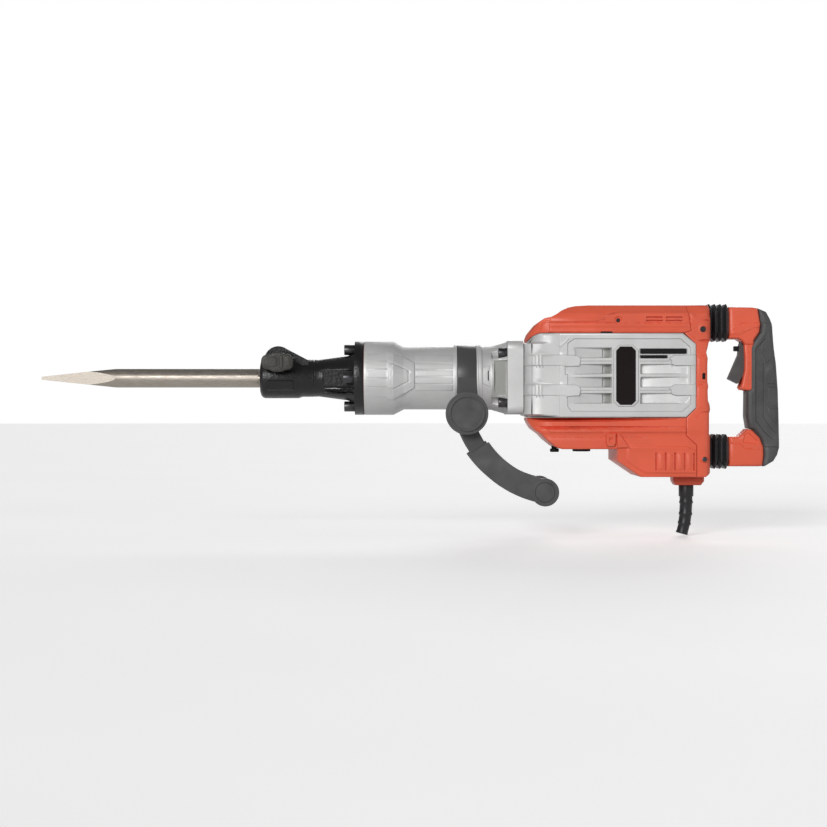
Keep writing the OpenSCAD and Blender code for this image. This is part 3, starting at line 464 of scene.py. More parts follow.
def relief(outline, base, features, *, rounding, step, columns=(), rows=(), back=None, sunk=0.0):
    """Points and faces of a solid whose two sides follow base(x, z) and its features.

    base gives half the width. Without back the two sides are joined all round; with it
    each side is a skin that thick. Where no feature stands, the surface lies sunk below
    base, so that a skin shows only its features and hides the rest in the CAD node.
    The points stand step apart, and on the extra columns and rows.
    """
    loops = [inset(outline, rounding * t) for t in ACROSS_ROUNDING] if rounding else []
    for feature in features:
        loops += feature.loops()
    points, edges = [], []

    def add_loop(loop):
        start = len(points)
        points.extend(Vector(p) for p in loop)
        edges.extend((start + i, start + (i + 1) % len(loop)) for i in range(len(loop)))

    add_loop(split(outline, step))
    for loop in loops:
        add_loop(loop)
    low_x, high_x = min(p[0] for p in outline), max(p[0] for p in outline)
    low_z, high_z = min(p[1] for p in outline), max(p[1] for p in outline)
    xs = sorted(set(np.round(np.arange(low_x, high_x, step), 3)) | set(columns))
    zs = sorted(set(np.round(np.arange(low_z, high_z, step), 3)) | set(rows))
    grid_x, grid_z = (g.ravel() for g in np.meshgrid(xs, zs))
    inner = depth_in(outline, grid_x, grid_z) > CLEAR_OF_RIM
    points.extend(Vector((a, b)) for a, b in zip(grid_x[inner], grid_z[inner]))
    flat, _, triangles, *_ = delaunay_2d_cdt(points, edges, [], 0, MERGE)
    x = np.array([p.x for p in flat])
    z = np.array([p.y for p in flat])
    tri = np.array(triangles)
    kept = depth_in(outline, x[tri].mean(1), z[tri].mean(1)) > 0
    tri = tri[kept]
    height = np.full(x.shape, -sunk)
    for feature in features:
        height = feature.apply(height, x, z)
    if rounding:
        near = np.clip(1 - np.clip(depth_in(outline, x, z), 0, None) / rounding, 0, 1)
        height = height - rounding * (1 - np.sqrt(1 - near * near)) * ROUNDING_DEPTH
    half = base(x, z)
    counts = {}
    for a, b, c in tri:
        for edge in ((a, b), (b, c), (c, a)):
            key = (min(edge), max(edge))
            counts[key] = None if key in counts else edge
    rim = [edge for edge in counts.values() if edge]
    number = len(x)
    solid_points, faces = [], []

    def two_sheets(first, second):
        start = len(solid_points)
        mirrored = start + number
        solid_points.extend(zip(x, first, z))
        solid_points.extend(zip(x, second, z))
        faces.extend((start + a, start + b, start + c) for a, b, c in tri)
        faces.extend((mirrored + c, mirrored + b, mirrored + a) for a, b, c in tri)
        faces.extend((start + b, start + a, mirrored + a, mirrored + b) for a, b in rim)

    if back is None:
        two_sheets(-half - height, half + height)
    else:
        two_sheets(-half - height, back - half)
        two_sheets(half - back, half + height)
    used = sorted({i for face in faces for i in face})
    renumber = {old: new for new, old in enumerate(used)}
    return [solid_points[i] for i in used], [tuple(renumber[i] for i in face) for face in faces]


def relief_piece(name, slot, body, outline, base, features, *stands_for,
                 shift=0, cuts=(), finish=None, **shape):
    """A relief as a piece that rides on a body, in its slot's material or another finish.

    shift moves it along Y, and cuts are boxes taken out of its inside.
    """
    points, faces = relief(outline, base, features, **shape)
    mesh = mesh_of(name, [(x, y + shift, z) for x, y, z in points], faces)
    for cut in cuts:
        mesh = carved(mesh, cut)
    piece = shaded(name, mesh, finish or slot)
    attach(piece, body)
    if stands_for:
        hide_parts(*stands_for)


def carved(mesh, cut):
    """The mesh less a box, given as (x, y, z) ranges in millimetres."""
    corners = [(x, y, z) for x in cut[0] for y in cut[1] for z in cut[2]]
    sides = [(0, 1, 3, 2), (4, 6, 7, 5), (0, 4, 5, 1), (2, 3, 7, 6), (0, 2, 6, 4), (1, 5, 7, 3)]
    block = bpy.data.objects.new("cutter", mesh_of("cutter", corners, sides))
    whole = bpy.data.objects.new("whole", mesh)
    for part in (block, whole):
        bpy.context.scene.collection.objects.link(part)
    take = whole.modifiers.new("take", "BOOLEAN")
    take.operation = "DIFFERENCE"
    take.solver = "EXACT"
    take.object = block
    solved = whole.evaluated_get(bpy.context.evaluated_depsgraph_get())
    result = bpy.data.meshes.new_from_object(solved)
    result.name = mesh.name + "_hollow"
    for part in (block, whole):
        bpy.data.objects.remove(part)
    return result


def front_round(start, radius, half):
    """Half width of a block whose front corners are rounded in plan."""
    def base(x, z):
        back = np.clip((radius - (x - start)) / radius, 0, 1)
        return half - radius * (1 - np.sqrt(1 - back * back))
    return base


def turned_half(profile):
    """Half width of a turned shape along X: profile is (x, radius) points."""
    px, pr = zip(*profile)

    def base(x, z):
        r = np.interp(x, px, pr)
        return np.sqrt(np.clip(r * r - z * z, 1, None))
    return base

def flat_half(half):
    """Half width of a slab, the same everywhere."""
    return lambda x, z: half + 0 * x


def slope(places, levels):
    """A level that changes along X, given at some places."""
    return lambda x, z: np.interp(x, places, levels)


# a skin on a kept CAD node: no rounding, its back and base hidden inside the node
SUNK = 0.6
SKIN = {"rounding": 0, "back": 2.5, "sunk": SUNK}

# the rounded front of the case and covers, and columns close together where it is steep
FRONT = 412
FRONT_RADIUS = 40
FRONT_COLUMNS = tuple(
    FRONT + FRONT_RADIUS * (1 - math.cos(math.radians(a))) for a in range(0, 90, 6)
)

# ---------------------------------------------------------------- gear case
# half the case's width, and how deep its side field lies
CASE = 67
FIELD = -2.4

# where the shafts of the crank, the large gear and the motor stand along X
CRANK = 490
LARGE_GEAR = 558
MOTOR = 622

# boxes of room inside the shells for what turns: the gears near the top, the fan on the motor
GEAR_ROOM = [
    ((CRANK - x, CRANK + x), (-y, y), (56, 76))
    for x, y in ((57, 22), (51, 34), (43, 44), (34, 51), (22, 55.5))
]
GEAR_ROOM += [
    ((LARGE_GEAR - 20, LARGE_GEAR + 20), (-19, 19), (56, 76)),
    ((MOTOR - 10, MOTOR + 10), (-10, 10), (56, 76)),
]
FAN_ROOM = [((MOTOR, MOTOR + x), (-y, y), (12, 36)) for x, y in ((42, 17), (37, 27), (30, 35))]


def gear_case():
    """The silver case: sloping pockets, vent slots, the label's frame and bosses on each side."""
    # where the pockets end in front of the label and behind it, and how they deepen towards it
    fore, aft = 540, 583.2
    ramp_in = slope([474, 482, 526, 528.5], [FIELD, -3.0, -11, -15])
    ramp_out = slope([583, 600, 645, 655], [-13, -9, -3.2, -2.8])
    field = [(478, -52.3), (646.5, -52.6), (660.3, -41.0), (660.3, 45.5), (645, 59.4), (482, 59.4),
             (472, 52), (472, -45)]
    features = [
        # the front panel, the field and its pockets
        Feature(slab_of(400, 460.5, -70, 75), -0.9, 1.0),
        Feature(field, FIELD, 1.3),
        Feature([(484, 28.8), (492, 28.6), (fore, 29.6), (fore, 45.6), (481, 45.6), (484, 40)],
                ramp_in, 1.6),
        Feature([(468, 3.4), (fore, 5.4), (fore, 20.6), (496, 20.6), (468, 17)], ramp_in, 1.6),
        Feature([(486, -15.6), (fore, -15.6), (fore, 1.0), (472, 0.2), (474, -9)], ramp_in, 1.6),
        Feature([(476, -40.2), (fore, -40.0), (fore, -23.6), (494, -23.6), (470, -31)],
                ramp_in, 1.6),
        Feature(slab_of(aft, 656, 4.6, 20.6, 1.5), ramp_out, 1.6),
        Feature(slab_of(aft, 656, -15.6, 1.0, 1.5), ramp_out, 1.6),
        Feature([(aft, -40.2), (652, -40.2), (659, -33), (659, -23.6), (aft, -23.6)],
                ramp_out, 1.6),
        # two vent slots, then the label's frame and its seat
        Feature(slab_of(582.0, 655, 35.4, 44.2, 0.6), -4.2, 0.8),
        Feature(slab_of(582.0, 625.4, 28.6, 34.2, 0.6), -4.2, 0.8),
        Feature(slab_of(541.4, 580.8, -44.8, 49.6, 8.5), 0.35, 1.2),
        Feature(slab_of(546.1, 576.4, -42.1, 46.9, 6.1), -1.4, 0.4),
        # lines between the pockets, and a lug at the upper front corner
        groove([(492, 24.7), (fore, 24.7)], 1.7, 0.9),
        groove([(583, 24.7), (628, 24.7)], 1.7, 0.9),
        groove([(492, -20), (fore, -20)], 1.7, 0.9),
        groove([(583, -20), (628, -20)], 1.7, 0.9),
        Feature([(458, 47.2), (472.5, 60), (476, 58.5), (461.5, 45.4)], 0.9, 1.0),
    ]
    # two long bosses, each with a shorter one behind the label and three slanted ribs
    for low, high in ((17.4, 34.8), (-28.0, -10.1)):
        middle = (low + high) / 2
        features += [
            Feature([(405, low), (467, low), (472, low - 1.6), (491, low - 0.4), (493, middle),
                     (491, high - 3), (484, high - 0.8), (467, high), (405, high)], 0.6, 1.2),
            Feature(slab_of(406, 412, low + 2, high - 2), -0.4, 1.4),
            Feature([(669, low), (636, low), (630, low + 2.5), (630, middle - 1),
                     (627, middle + 1), (627.5, high - 5), (634, high - 0.5), (669, high)],
                    0.9, 1.2),
        ]
        for i in range(3):
            x = 4.6 * i
            rib = [(423.4 + x, high - 0.5), (423.4 + x, low + 2.5), (426 + x, low - 2.4)]
            features.append(Feature(line_of(rib, 1.9), 1.15, 0.8))
    features.append(groove([(418.5, -58), (418.5, 53)], 1.1, 0.6))
    outline = [(406, -56), (408, -58.4), (416, -60.7), (653, -60.8), (668, -46.4), (668, 51),
               (648, 67.4), (430, 67.4), (421, 63.5), (412.3, 55), (408, 53.8), (406, 52)]

    def half(x, z):
        """The square collar runs into the rounded front of the case."""
        collar = smooth((55 - z) / 4) * smooth((z + 60) / 4)
        rounded = front_round(FRONT, FRONT_RADIUS, CASE)(x, z)
        return rounded * (1 - collar) + front_round(400, 34, CASE)(x, z) * collar

    columns = (406, 408, 411, 415, 482, 526, 528.5, 538, 585, 590, 645, 655)
    room = [((395, 446), (-46, 46), (-46, 46)), ((440, 646), (-50, 50), (-55, 62)),
            ((594, 650), (-28, 28), (-64, -12))]
    relief_piece("gear_case_body", "cast_aluminium", "housing", outline, half, features,
                 "gear_case", rounding=2.2, step=5, columns=FRONT_COLUMNS + columns,
                 rows=(51, 53, 55, -56, -58, -60), cuts=room + GEAR_ROOM + FAN_ROOM)


# ---------------------------------------------------------------- barrel
def barrel_relief():
    """Flats on the drum, the raised arrow and the long flats behind it."""
    drum, barrel = 57.1, 48.7
    profile = [(162, drum), (207, drum), (223, barrel), (301, barrel)]
    # each facet of the drum, from its lower edge to its upper one
    facets = [(-30.5, -15.2), (-14.4, -1.4), (-0.6, 12.4), (13.2, 24.6), (25.4, 37)]
    features = [Feature(slab_of(165, 205, low, high, 1.0), 0.9, 0.9) for low, high in facets]
    arrow = [(196.5, 41), (207, 41.4), (240.5, 23.5), (240.5, -16.4), (207, -35.8), (196.5, -35)]
    head = [(201, 22), (209, 21), (230.5, 11), (230, -6), (209, -17), (198, -17)]
    places, heights = [196, 207, 223, 241], np.array([1.2, 1.4, 4.6, 2.0])
    features += [
        Feature(arrow, slope(places, heights), 1.8),
        Feature([(207, 23.2), (232.5, 12), (232.5, -7), (207, -18.6)],
                slope(places, heights - 0.8), 1.0),
        Feature(head, slope(places, heights + 0.7), 1.2),
    ]
    flats = [(21.5, 12.5), (11.3, 1.7), (0.5, -9.5), (-10.7, -20.5)]
    features += [Feature(slab_of(240, 298.5, low, high, 0.8), 1.1, 0.9) for high, low in flats]
    features.append(Feature(slab_of(240, 299, 23, 36, 0.8), 0.7, 1.2))
    outline = [(163.5, -38), (205, -38), (243, -24), (300, -24), (300, 37), (243, 37), (207, 43),
               (163.5, 40)]
    relief_piece("barrel_relief", "cast_aluminium", "housing", outline, turned_half(profile),
                 features, step=3, columns=(207, 223), **SKIN)


def neck_relief():
    """The neck behind the band: a raised panel with a slot, and the pocket's lip and floor."""
    profile = [(343, 49.4), (359, 49.4), (382, 56)]
    outline = slab_of(342, 360.5, -28, 28)
    features = [
        Feature([(343.6, 15.2), (354.2, 19.3), (356, 19.3), (356, -14.4), (354.2, -14.4),
                 (343.6, -9.4)], 1.3, 0.9),
        Feature(slab_of(356.8, 360.3, -27.6, 27.6, 0.6), 1.5, 0.7),
        Feature(slab_of(351.6, 353.6, -4.9, 10.6, 0.5), -0.4, 0.4),
    ]
    relief_piece("neck_relief", "cast_aluminium", "housing", outline, turned_half(profile),
                 features, step=2.5, **SKIN)
    slot = slab_of(350.8, 354.4, -5.7, 11.4)
    relief_piece("neck_slot", "black_plastic", "housing", slot, turned_half(profile),
                 [Feature(slab_of(351.4, 353.8, -5.1, 10.8, 0.5), 0.5, 0.3)],
                 rounding=0, step=2, back=2, sunk=SUNK)
    # the pocket's floor in darker aluminium: partly bare machined metal, partly painted shade
    floor = slab_of(361.3, 381.7, -26.7, 26.7)
    relief_piece("neck_pocket_floor", "cast_aluminium", "housing", floor, flat_half(44.3),
                 [Feature(slab_of(362.3, 380.7, -25.6, 25.6, 1), -0.25, 0.9)],
                 rounding=0, step=3, back=1.2, finish="painted_shade_aluminium")


# ---------------------------------------------------------------- covers
# half the covers' width and how high they go, their top chamfer and their rounded back
COVER = 64
TOP = 110.8
CHAMFER = 14
REAR = 680
REAR_RADIUS = 12


def cover_half(x, z):
    """Half width of the red covers: rounded in front, chamfered on top, stepped in below."""
    half = front_round(FRONT, FRONT_RADIUS, COVER)(x, z)
    half = half - np.clip(z - (TOP - CHAMFER), 0, CHAMFER)
    half = half - np.interp(z, [-112, -108, -87, -83], [3, 2, 2, 0])
    end = np.clip(x - REAR, 0, REAR_RADIUS)
    return half - (REAR_RADIUS - np.sqrt(REAR_RADIUS ** 2 - end * end))


def round_spot(x, z, r, count=16):
    """A round outline of count points."""
    turns = [2 * math.pi * i / count for i in range(count)]
    return [(x + r * math.cos(turn), z + r * math.sin(turn)) for turn in turns]


def top_cover():
    """The red cover on top: a stepped crest, long ribs, a screw seat and slots on each side."""
    outline = [(412.3, 55.6), (412.3, 61), (416, 69), (429, 84.5), (438, 90.5), (448, 92.5),
               (455, 96), (464, 102.3), (474, 107), (486, 109.6), (506, TOP), (655, TOP),
               (661, 70.8), (649, 67.9), (430, 67.9), (421, 64)]
    features = [
        added([(440, 93.5), (508, 93.5), (529, 94), (553, 99.2), (664, 99.2), (664, 120),
               (440, 120)], -1.8, 2.4),
        added([(446, 84.6), (512, 84.6), (530, 88), (530, 92.2), (446, 92.2)], 1.0, 1.2),
        added(slab_of(446, 655, 76, 82.4, 1), 0.7, 1.2),
        added(slab_of(446, 640, 69.6, 73.6, 1), 0.7, 1.0),
        added([(430, 66), (444, 66), (446, 74), (445, 87.5), (440, 88), (432, 79)], 1.4, 1.4),
        Feature(slab_of(523, 541.5, 67, 70.2, 0.5), -3.5, 0.5),
        added(round_spot(550, 87, 6.2), -2.2, 1.0),
        Feature(round_spot(550, 87, 3.4, 12), -6.0, 0.5),
        groove([(430, 83.2), (660, 83.2)], 1.1, 0.6),
    ]
    for x in (592, 622):
        for z in (85.2, 90.2):
            features.append(Feature(slab_of(x, x + 26, z, z + 2.6, 0.6), -4.5, 0.5))
    relief_piece("top_cover_shell", "red_plastic", "housing", outline, cover_half, features,
                 "top_cover", rounding=1.6, step=6, columns=FRONT_COLUMNS, rows=(96.8,),
                 cuts=[((478, 646), (-54, 54), (60, 99))] + GEAR_ROOM)


def inlay(name, half, x0, x1, z0, z1, slot="black_plastic", finish=None):
    """An insert at the bottom of a slot, half a width from the middle."""
    relief_piece(name, slot, "housing", slab_of(x0, x1, z0, z1, 0.3), flat_half(half), [],
                 rounding=0.4, step=3, back=1.5, finish=finish)


def lower_housing():
    """The red housing below: long ribs in front, and the motor box with its ribbed vents."""
    outline = [(412.3, -61.2), (412.3, -65), (421, -78), (434, -87.3), (442, -95.5), (455, -106),
               (465, -109.5), (549, -109.5), (549, -127.5), (585, -152), (670, -152),
               (670, -103.4), (653.6, -88.4), (653.6, -61.2)]
    features = [
        added([(446, -84), (655, -84), (655, -79), (440, -79)], 0.9, 1.4),
        groove([(425, -76), (655, -76)], 1.1, 0.5),
        groove([(446, -91.6), (600, -91.6)], 1.2, 0.6),
        added([(530, -84), (547.5, -84), (547.5, -101), (544, -106.5), (533, -106.5), (530, -101)],
              5.2, 2.4),
        added([(547.4, -84), (552, -84), (569.5, -108.6), (547.4, -108.6)], 3.2, 2.0),
        added([(569, -104), (655, -104), (671, -112), (671, -147), (590, -147), (562, -128),
               (562, -110)], 1.6, 2.4),
        added(round_spot(538.7, -96, 3.6), -2.4, 0.8),
    ]
    for i in range(5):
        x = 607.8 + 14.4 * i
        features.append(added(slab_of(x - 1.4, x + 1.4, -142.5, -114.5, 1.0), -3.6, 0.6))
        if i < 4:
            features.append(added(slab_of(x + 3.6, x + 10.8, -141, -116, 1.4), 0.7, 1.0))
    room = [((464, 648), (-50, 50), (-104, -66)), ((560, 660), (-46, 46), (-129, -98)),
            ((594, 650), (-28, 28), (-90, -58)),
            ((MOTOR - 10, MOTOR + 10), (-10, 10), (-139, -125))]
    relief_piece("lower_housing_shell", "red_plastic", "housing", outline, cover_half, features,
                 "lower_housing", rounding=1.8, step=6, columns=FRONT_COLUMNS,
                 rows=(-83, -87, -108), cuts=room)


# the screws of the rear housing
UPPER_SCREW = (679, 73.3)
LOWER_SCREW = (681.7, -124.9)


def rear_housing():
    """The red housing behind: joint lines, raised fields and screw seats, and the cord's boss."""
    outline = [(655.3, TOP), (661.4, 70.8), (650.4, 67.9), (668.3, 51.2), (668.3, -46.6),
               (653.9, -61.3), (653.9, -88.3), (670.3, -103.3), (670.3, -152), (684, -152),
               (692, -146), (692, -88), (689, -86), (689, -55), (691.2, -49), (690, -42),
               (687, -35), (686.4, -20), (687.6, -14), (686, -6), (686, 20), (686.6, 29),
               (684.2, 38), (687, 48), (688, 53), (692, 57), (692, TOP - 6), (690, TOP)]
    features = [
        added([(640, 99.2), (656, 99.2), (678, 87), (692, 87), (692, 120), (640, 120)], -1.6, 2.4),
        groove([(651, 72), (670, 56.4), (692, 56.4)], 1.0, 0.7),
        groove([(666, 33.4), (684, 33.4), (690, 36)], 1.0, 0.7),
        groove([(666, -11.3), (684, -11.3), (690, -9)], 1.0, 0.7),
        groove([(665, -64), (676, -53), (692, -52)], 1.0, 0.7),
        added(slab_of(670.5, 684, -8, 30, 1.5), 0.7, 1.4),
        added(slab_of(670.5, 684, -48, -14.5, 1.5), 0.5, 1.4),
        Feature(slab_of(677.6, 683, -3.2, 6.8, 0.8), -3.0, 0.6),
        added(round_spot(*UPPER_SCREW, 6.4), 0.8, 1.0),
        added(round_spot(*UPPER_SCREW, 4.9), -1.6, 0.5),
        added(round_spot(*LOWER_SCREW, 5.6), 2.5, 1.0),
        added(round_spot(*LOWER_SCREW, 4.0), -1.3, 0.4),
    ]
    relief_piece("rear_housing_shell", "red_plastic", "housing", outline, cover_half, features,
                 "rear_housing", rounding=1.4, step=5, columns=(680, 684, 687, 689, 690.5, 691.5),
                 rows=(96.8,))
    boss = [(641, -148), (641, -160), (645, -166.4), (684, -166.4), (689, -160), (689, -148)]
    relief_piece("cord_boss", "red_plastic", "housing", boss, flat_half(18),
                 [groove([(641, -155.5), (689, -155.5)], 1.2, 0.7)], rounding=3.5, step=5)


def holder_relief():
    """The sand-cast pads on the holder's nose and the ribs that run to its flange."""
    nose, waist = 31.3, 29.1
    profile = [(8, nose), (59, nose), (65, waist), (84, waist), (90, 28.6), (135, 34.6), (147, 40)]
    pad = [(9.5, -21), (54.5, -21), (54.5, -2.4), (9.5, -2.4)]
    relief_piece("holder_pads", "black_casting", "housing", pad, turned_half(profile),
                 [Feature(slab_of(11, 53, -20, -3.6, 2), 1.5, 1.6),
                  Feature(slab_of(14, 50, -17.6, -5.8, 2), 0.7, 1.4),
                  Feature(slab_of(10.5, 54, -3.4, -2.6), 0.8, 0.6)], step=2.5, **SKIN)
    # the ribs take a finish whose bright chipped edges are a painted highlight
    ribs = [(96, -12.8), (145.5, -12.8), (145.5, -28), (96, -24)]
    relief_piece("holder_ribs", "black_casting", "housing", ribs, turned_half(profile),
                 [Feature(line_of([(98, -15.4), (145, -17)], 4.0), 2.2, 0.9),
                  Feature(line_of([(100, -21.6), (145, -24.6)], 3.2), 1.8, 0.9)],
                 step=2.5, **SKIN, finish="enamel_painted_highlight")


def retainer_knob():
    """The cast wing that turns the retainer pin: two padded lobes and a rib across."""
    low, high = (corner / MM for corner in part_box("retainer_knob"))
    middle_x, middle_z = (low.x + high.x) / 2, (low.z + high.z) / 2

    def there(outline):
        return [(x + middle_x, z + middle_z) for x, z in outline]

    shape = [(-25, 4), (-24.5, -5), (-20, -10.5), (-12, -12), (-7, -15.2), (7, -15.2), (13, -12),
             (20, -11.5), (24.6, -6), (25, 5), (20, 10.5), (12, 11.5), (7, 15.2), (-7, 15.2),
             (-12, 11.5), (-21, 10.5)]
    rib = 1.6
    features = [
        added(there(slab_of(3.5, 9, -11, 11, 2)), rib, 1.8),
        added(there(slab_of(-20.5, 1, -8.5, 8.5, 3)), 0.9, 2.4),
        added(there(slab_of(11.5, 21, -8, 7, 3)), 0.9, 2.0),
    ]
    depth = (high.y - low.y) / 2 - rib
    relief_piece("retainer_wing", "retainer_grey", "retainer", softened(there(shape)),
                 flat_half(depth), features, "retainer_knob", rounding=3.2, step=3,
                 shift=(low.y + high.y) / 2)


# ---------------------------------------------------------------- rear handle
def rear_handle():
    """The D-handle: two red arms, the bar behind the trigger and the grey grip with its pads."""
    flat = flat_half(20)
    upper = [(727, 60.9), (742, 60.9), (748, 57), (752, 51), (766, 51), (766, 58), (774.6, 71),
             (776, 84), (772, 108), (764, 109.6), (727, 110.2)]
    relief_piece("handle_upper_arm", "red_plastic", "rear_handle", upper, flat, [
        added([(727, 74), (733, 76), (747.5, 85.6), (777, 86.5), (777, 78), (758, 74), (744, 66),
               (727, 66)], 1.0, 2.0),
        groove([(729, 73.4), (735, 76), (748, 85.2), (774, 85.4)], 1.4, 0.8),
        groove([(735, 68), (746, 70.5), (757, 77.6), (774, 77.2)], 1.2, 0.6),
    ], "rear_handle_left", "rear_handle_right", rounding=5.0, step=4)
    lower = [(727, -91), (742, -91), (749, -86), (756, -79), (763, -80.6), (775, -92.6),
             (780.6, -107), (781, -120), (779, -135.6), (774, -137), (727, -137)]
    relief_piece("handle_lower_arm", "red_plastic", "rear_handle", lower, flat, [
        added([(750, -86.5), (757, -83), (773, -97.5), (771, -103.5), (748, -101)], -2.2, 2.4),
        added([(726, -101.5), (744, -101.5), (752, -109.5), (783, -109.5), (783, -140),
               (726, -140)], 1.0, 1.6),
        groove([(728, -101), (744, -101), (752, -109), (780, -109)], 1.2, 0.6),
    ], rounding=5.0, step=4)
    guard = [(751, 54), (752.2, 30), (752, 12), (748, -8), (745.5, -14.5), (748, -18),
             (757, -19.4), (764.5, -18.5), (765.5, 0), (765.5, 54)]
    relief_piece("trigger_guard", "red_plastic", "rear_handle", guard, flat_half(17.5),
                 [groove([(758.5, 52), (758.5, -14)], 1.2, 0.6)], rounding=3.0, step=4, back=9)
    grip = [(772.4, 109), (786, 103), (792, 92), (795, 84), (797, 52), (801, 22), (804, -20),
            (806, -97), (806, -108), (803, -119), (797, -129), (783, -137.2), (779.3, -137),
            (781.3, -120), (780.6, -106), (776.3, -92.2), (766.3, -80), (757.5, -78), (754.5, -60),
            (755, -19.6), (759.5, -17), (759.5, 48), (764.3, 56), (775.6, 71), (776.6, 84)]
    pads = [
        [(775, 52), (790, 67), (796, 64), (798.5, 36), (787, 24), (784.5, 22), (782.5, 30),
         (775, 40)],
        [(784.6, 15), (793, 20.5), (800.6, 28), (802, 2), (800, -9.5), (786, -9.5), (784, 6)],
        [(786, -13.6), (801.6, -13.6), (803.5, -42), (796, -45.5), (786, -36)],
        [(786, -41), (792, -47), (804.5, -47), (805.5, -78), (796, -68), (786, -57)],
    ]
    features = [added([(777, 86), (797, 80), (797, 112), (770, 112)], -1.6, 2.0)]
    features += [added(pad, 1.3, 1.8) for pad in pads]
    features += [
        groove([(768.5, 44), (783, 60.5)], 1.5, 1.0),
        groove([(768.5, 44), (768.5, -66), (780, -82), (795, -96)], 1.5, 1.0),
        groove([(780, 24), (780, -60), (790, -76), (800, -86)], 1.5, 0.9),
        groove([(781, -107), (806, -107)], 1.5, 1.0),
    ]
    relief_piece("grip_overmould", "grey_grip", "rear_handle", grip, flat_half(19), features,
                 "grip_cover", rounding=7.5, step=4)


def bellows(name, node):
    """A chamfered rectangular bellows, made in metres."""
    low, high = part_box(node)
    middle = (low.z + high.z) / 2
    half_y, half_z = high.y, (high.z - low.z) / 2
    corner, fold = 0.011, 0.0062
    folds, rings = 4, 64
    points, faces = [], []

    def section(shrink):
        y, z, c = half_y - shrink, half_z - shrink, corner - shrink * 0.4
        corners = [(y - c, z), (y, z - c), (y, c - z), (y - c, -z),
                   (c - y, -z), (-y, c - z), (-y, z - c), (c - y, z)]
        loop = []
        for a, b in zip(corners, corners[1:] + corners[:1]):
            loop += between(a, b, (0.04, 0.2, 0.5, 0.8, 0.96))
        return loop

    around = len(section(0))
    for i in range(rings + 1):
        share = i / rings
        x = low.x + (high.x - low.x) * share
        wave = (0.5 - 0.5 * math.cos(2 * math.pi * folds * share)) ** 0.7
        points += [(x, y, middle + z) for y, z in section(fold * (1 - wave))]
    for i in range(rings):
        here, ahead = i * around, (i + 1) * around
        for j in range(around):
            k = (j + 1) % around
            faces.append((here + j, here + k, ahead + k, ahead + j))
    faces.append(tuple(range(around))[::-1])
    faces.append(tuple(rings * around + j for j in range(around)))
    mesh = bpy.data.meshes.new(name)
    mesh.from_pydata(points, [], faces)
    piece = shaded(name, mesh, "black_rubber", sharp=50)
    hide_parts(node)
    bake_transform(piece)


# ---------------------------------------------------------------- kept CAD nodes
# nodes whose finish isn't their slot's
FINISH = {
    "housing_screws": "black_bolts",
    "handle_band": "painted_steel",
    "clamp_saddle": "painted_steel",
    "handle_straps": "painted_steel",
}

# edges sharper than EDGE_ANGLE are rounded, and faces within FLAT_ANGLE made one, in degrees
EDGE_WIDTH = 0.0012
EDGE_ANGLE = 32
FLAT_ANGLE = 0.6


def dress(node):
    """Rounds a CAD node's edges with modifiers and gives it its material."""
    piece = frame["nodes"][node]
    slot = next(s["material_slot"] for s in frame["record"]["subparts"] if s["node"] == node)
    piece.data.materials.clear()
    piece.data.materials.append(look[FINISH.get(node, slot)])
    weld = piece.modifiers.new("weld", "WELD")
    weld.merge_threshold = TINY
    flat = piece.modifiers.new("flat", "DECIMATE")
    flat.decimate_type = "DISSOLVE"
    flat.angle_limit = math.radians(FLAT_ANGLE)
    round_off = piece.modifiers.new("round", "BEVEL")
    round_off.width = EDGE_WIDTH
    round_off.segments = 2
    round_off.limit_method = "ANGLE"
    round_off.angle_limit = math.radians(EDGE_ANGLE)
    round_off.use_clamp_overlap = True
    round_off.harden_normals = False


# how deep the case's pockets go, and the heights of their floors, where darker inlays are laid as
# painted shade
POCKET_DEPTH = 14.6
POCKETS = ((31, 44), (7, 19), (-14, -0.5), (-38.6, -25))

gear_case()
barrel_relief()
neck_relief()
top_cover()
lower_housing()
rear_housing()
rear_handle()
holder_relief()
retainer_knob()
inlay("cover_slot", COVER - 2.4, 523.3, 541.2, 67.4, 69.9)
inlay("rear_slot", COVER - 2.0, 677.9, 682.7, -2.9, 6.5)
# darker aluminium inlays at the deep ends of the pockets: painted shade
for number, (low, high) in enumerate(POCKETS, 1):
    inlay(f"pocket_floor_{number}", CASE - POCKET_DEPTH, 529.6, 538.6, low, high,
          "cast_aluminium", "painted_shade_aluminium")
bellows("bellows_upper", "upper_bellows")
bellows("bellows_lower", "lower_bellows")
for name in sorted(frame["nodes"]):
    if not frame["nodes"][name].hide_render:
        dress(name)


# ---------------------------------------------------------------- camera, light and floor
CAMERA = (0.238, -2.6, -0.055)
LENS = 72.5
SENSOR = 36
WORLD_LIGHT = 0.24
# name, where it shines from, strength, how soft its shadows are in degrees
SUNS = (
    ("key", (-1.1, -2.4, 0.85), 1.95, 22),
    ("fill", (1.8, -1.9, 0.1), 0.36, 40),
    ("back", (0.5, 2.2, 0.9), 0.8, 30),
)
FLOOR_RADIUS = 30
FLOOR_GAP = 0.002


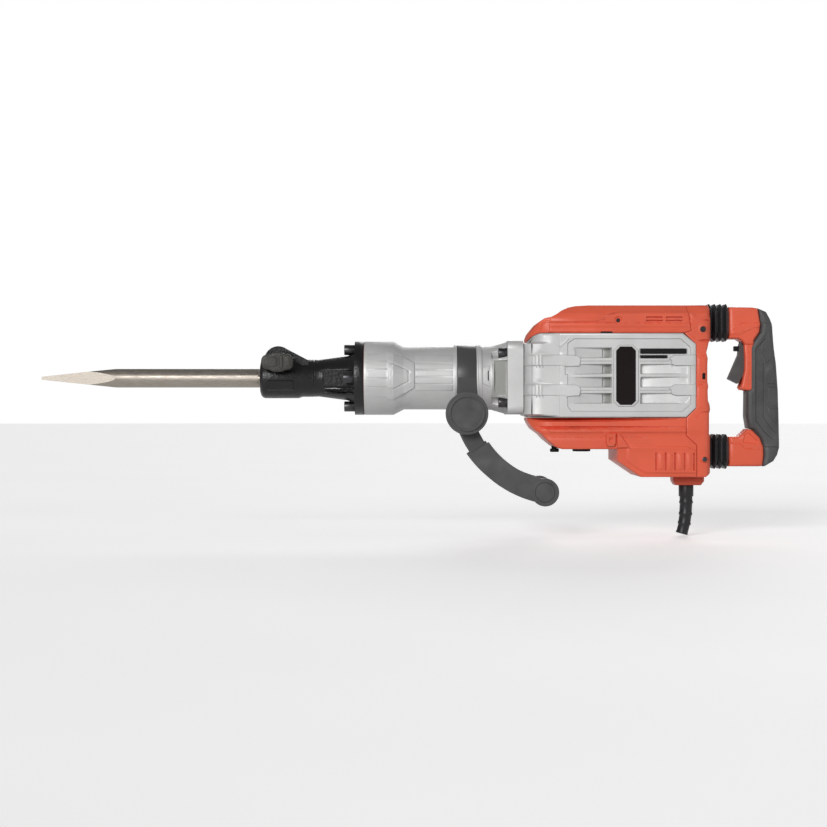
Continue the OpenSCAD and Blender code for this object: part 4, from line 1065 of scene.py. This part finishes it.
def studio():
    """A level camera beside the tool, a world that looks white, three suns and a pale floor."""
    scene = bpy.context.scene
    camera = bpy.data.objects.new("camera", bpy.data.cameras.new("camera"))
    camera.location = CAMERA
    camera.rotation_euler = (math.pi / 2, 0, 0)
    camera.data.lens = LENS
    camera.data.sensor_width = SENSOR
    scene.collection.objects.link(camera)
    scene.camera = camera
    scene.view_settings.view_transform = "Standard"

    world = bpy.data.worlds.new("studio")
    world.use_nodes = True
    tree = world.node_tree
    background = tree.nodes["Background"]
    background.inputs["Color"].default_value = (*WHITE, 1)
    background.inputs["Strength"].default_value = WORLD_LIGHT
    seen = tree.nodes.new("ShaderNodeBackground")
    seen.inputs["Color"].default_value = (*WHITE, 1)
    seen.inputs["Strength"].default_value = 1.0
    which = tree.nodes.new("ShaderNodeMixShader")
    path = tree.nodes.new("ShaderNodeLightPath")
    tree.links.new(path.outputs["Is Camera Ray"], which.inputs["Fac"])
    tree.links.new(background.outputs["Background"], which.inputs[1])
    tree.links.new(seen.outputs["Background"], which.inputs[2])
    tree.links.new(which.outputs["Shader"], tree.nodes["World Output"].inputs["Surface"])
    scene.world = world

    for name, place, strength, spread in SUNS:
        light = bpy.data.objects.new(name, bpy.data.lights.new(name, "SUN"))
        light.data.energy = strength
        light.data.angle = math.radians(spread)
        light.location = place
        light.rotation_euler = (-Vector(place)).to_track_quat("-Z", "Y").to_euler()
        scene.collection.objects.link(light)

    n = Nodes("floor_paint")
    paint = n.ramp(n.noise(2, 3), (0.3, grey(0.86)), (0.7, grey(0.9)))
    n.link(paint, n.shader.inputs["Base Color"])
    n.set(Roughness=0.8, Emission_Color=(*WHITE, 1), Emission_Strength=0.35)
    mesh = bmesh.new()
    bmesh.ops.create_circle(mesh, cap_ends=True, segments=96, radius=FLOOR_RADIUS)
    floor_mesh = bpy.data.meshes.new("floor")
    mesh.to_mesh(floor_mesh)
    mesh.free()
    floor_mesh.materials.append(n.material)
    floor = bpy.data.objects.new("floor", floor_mesh)
    floor.location.z = cad_low.z - FLOOR_GAP
    floor.visible_diffuse = False
    scene.collection.objects.link(floor)


studio()
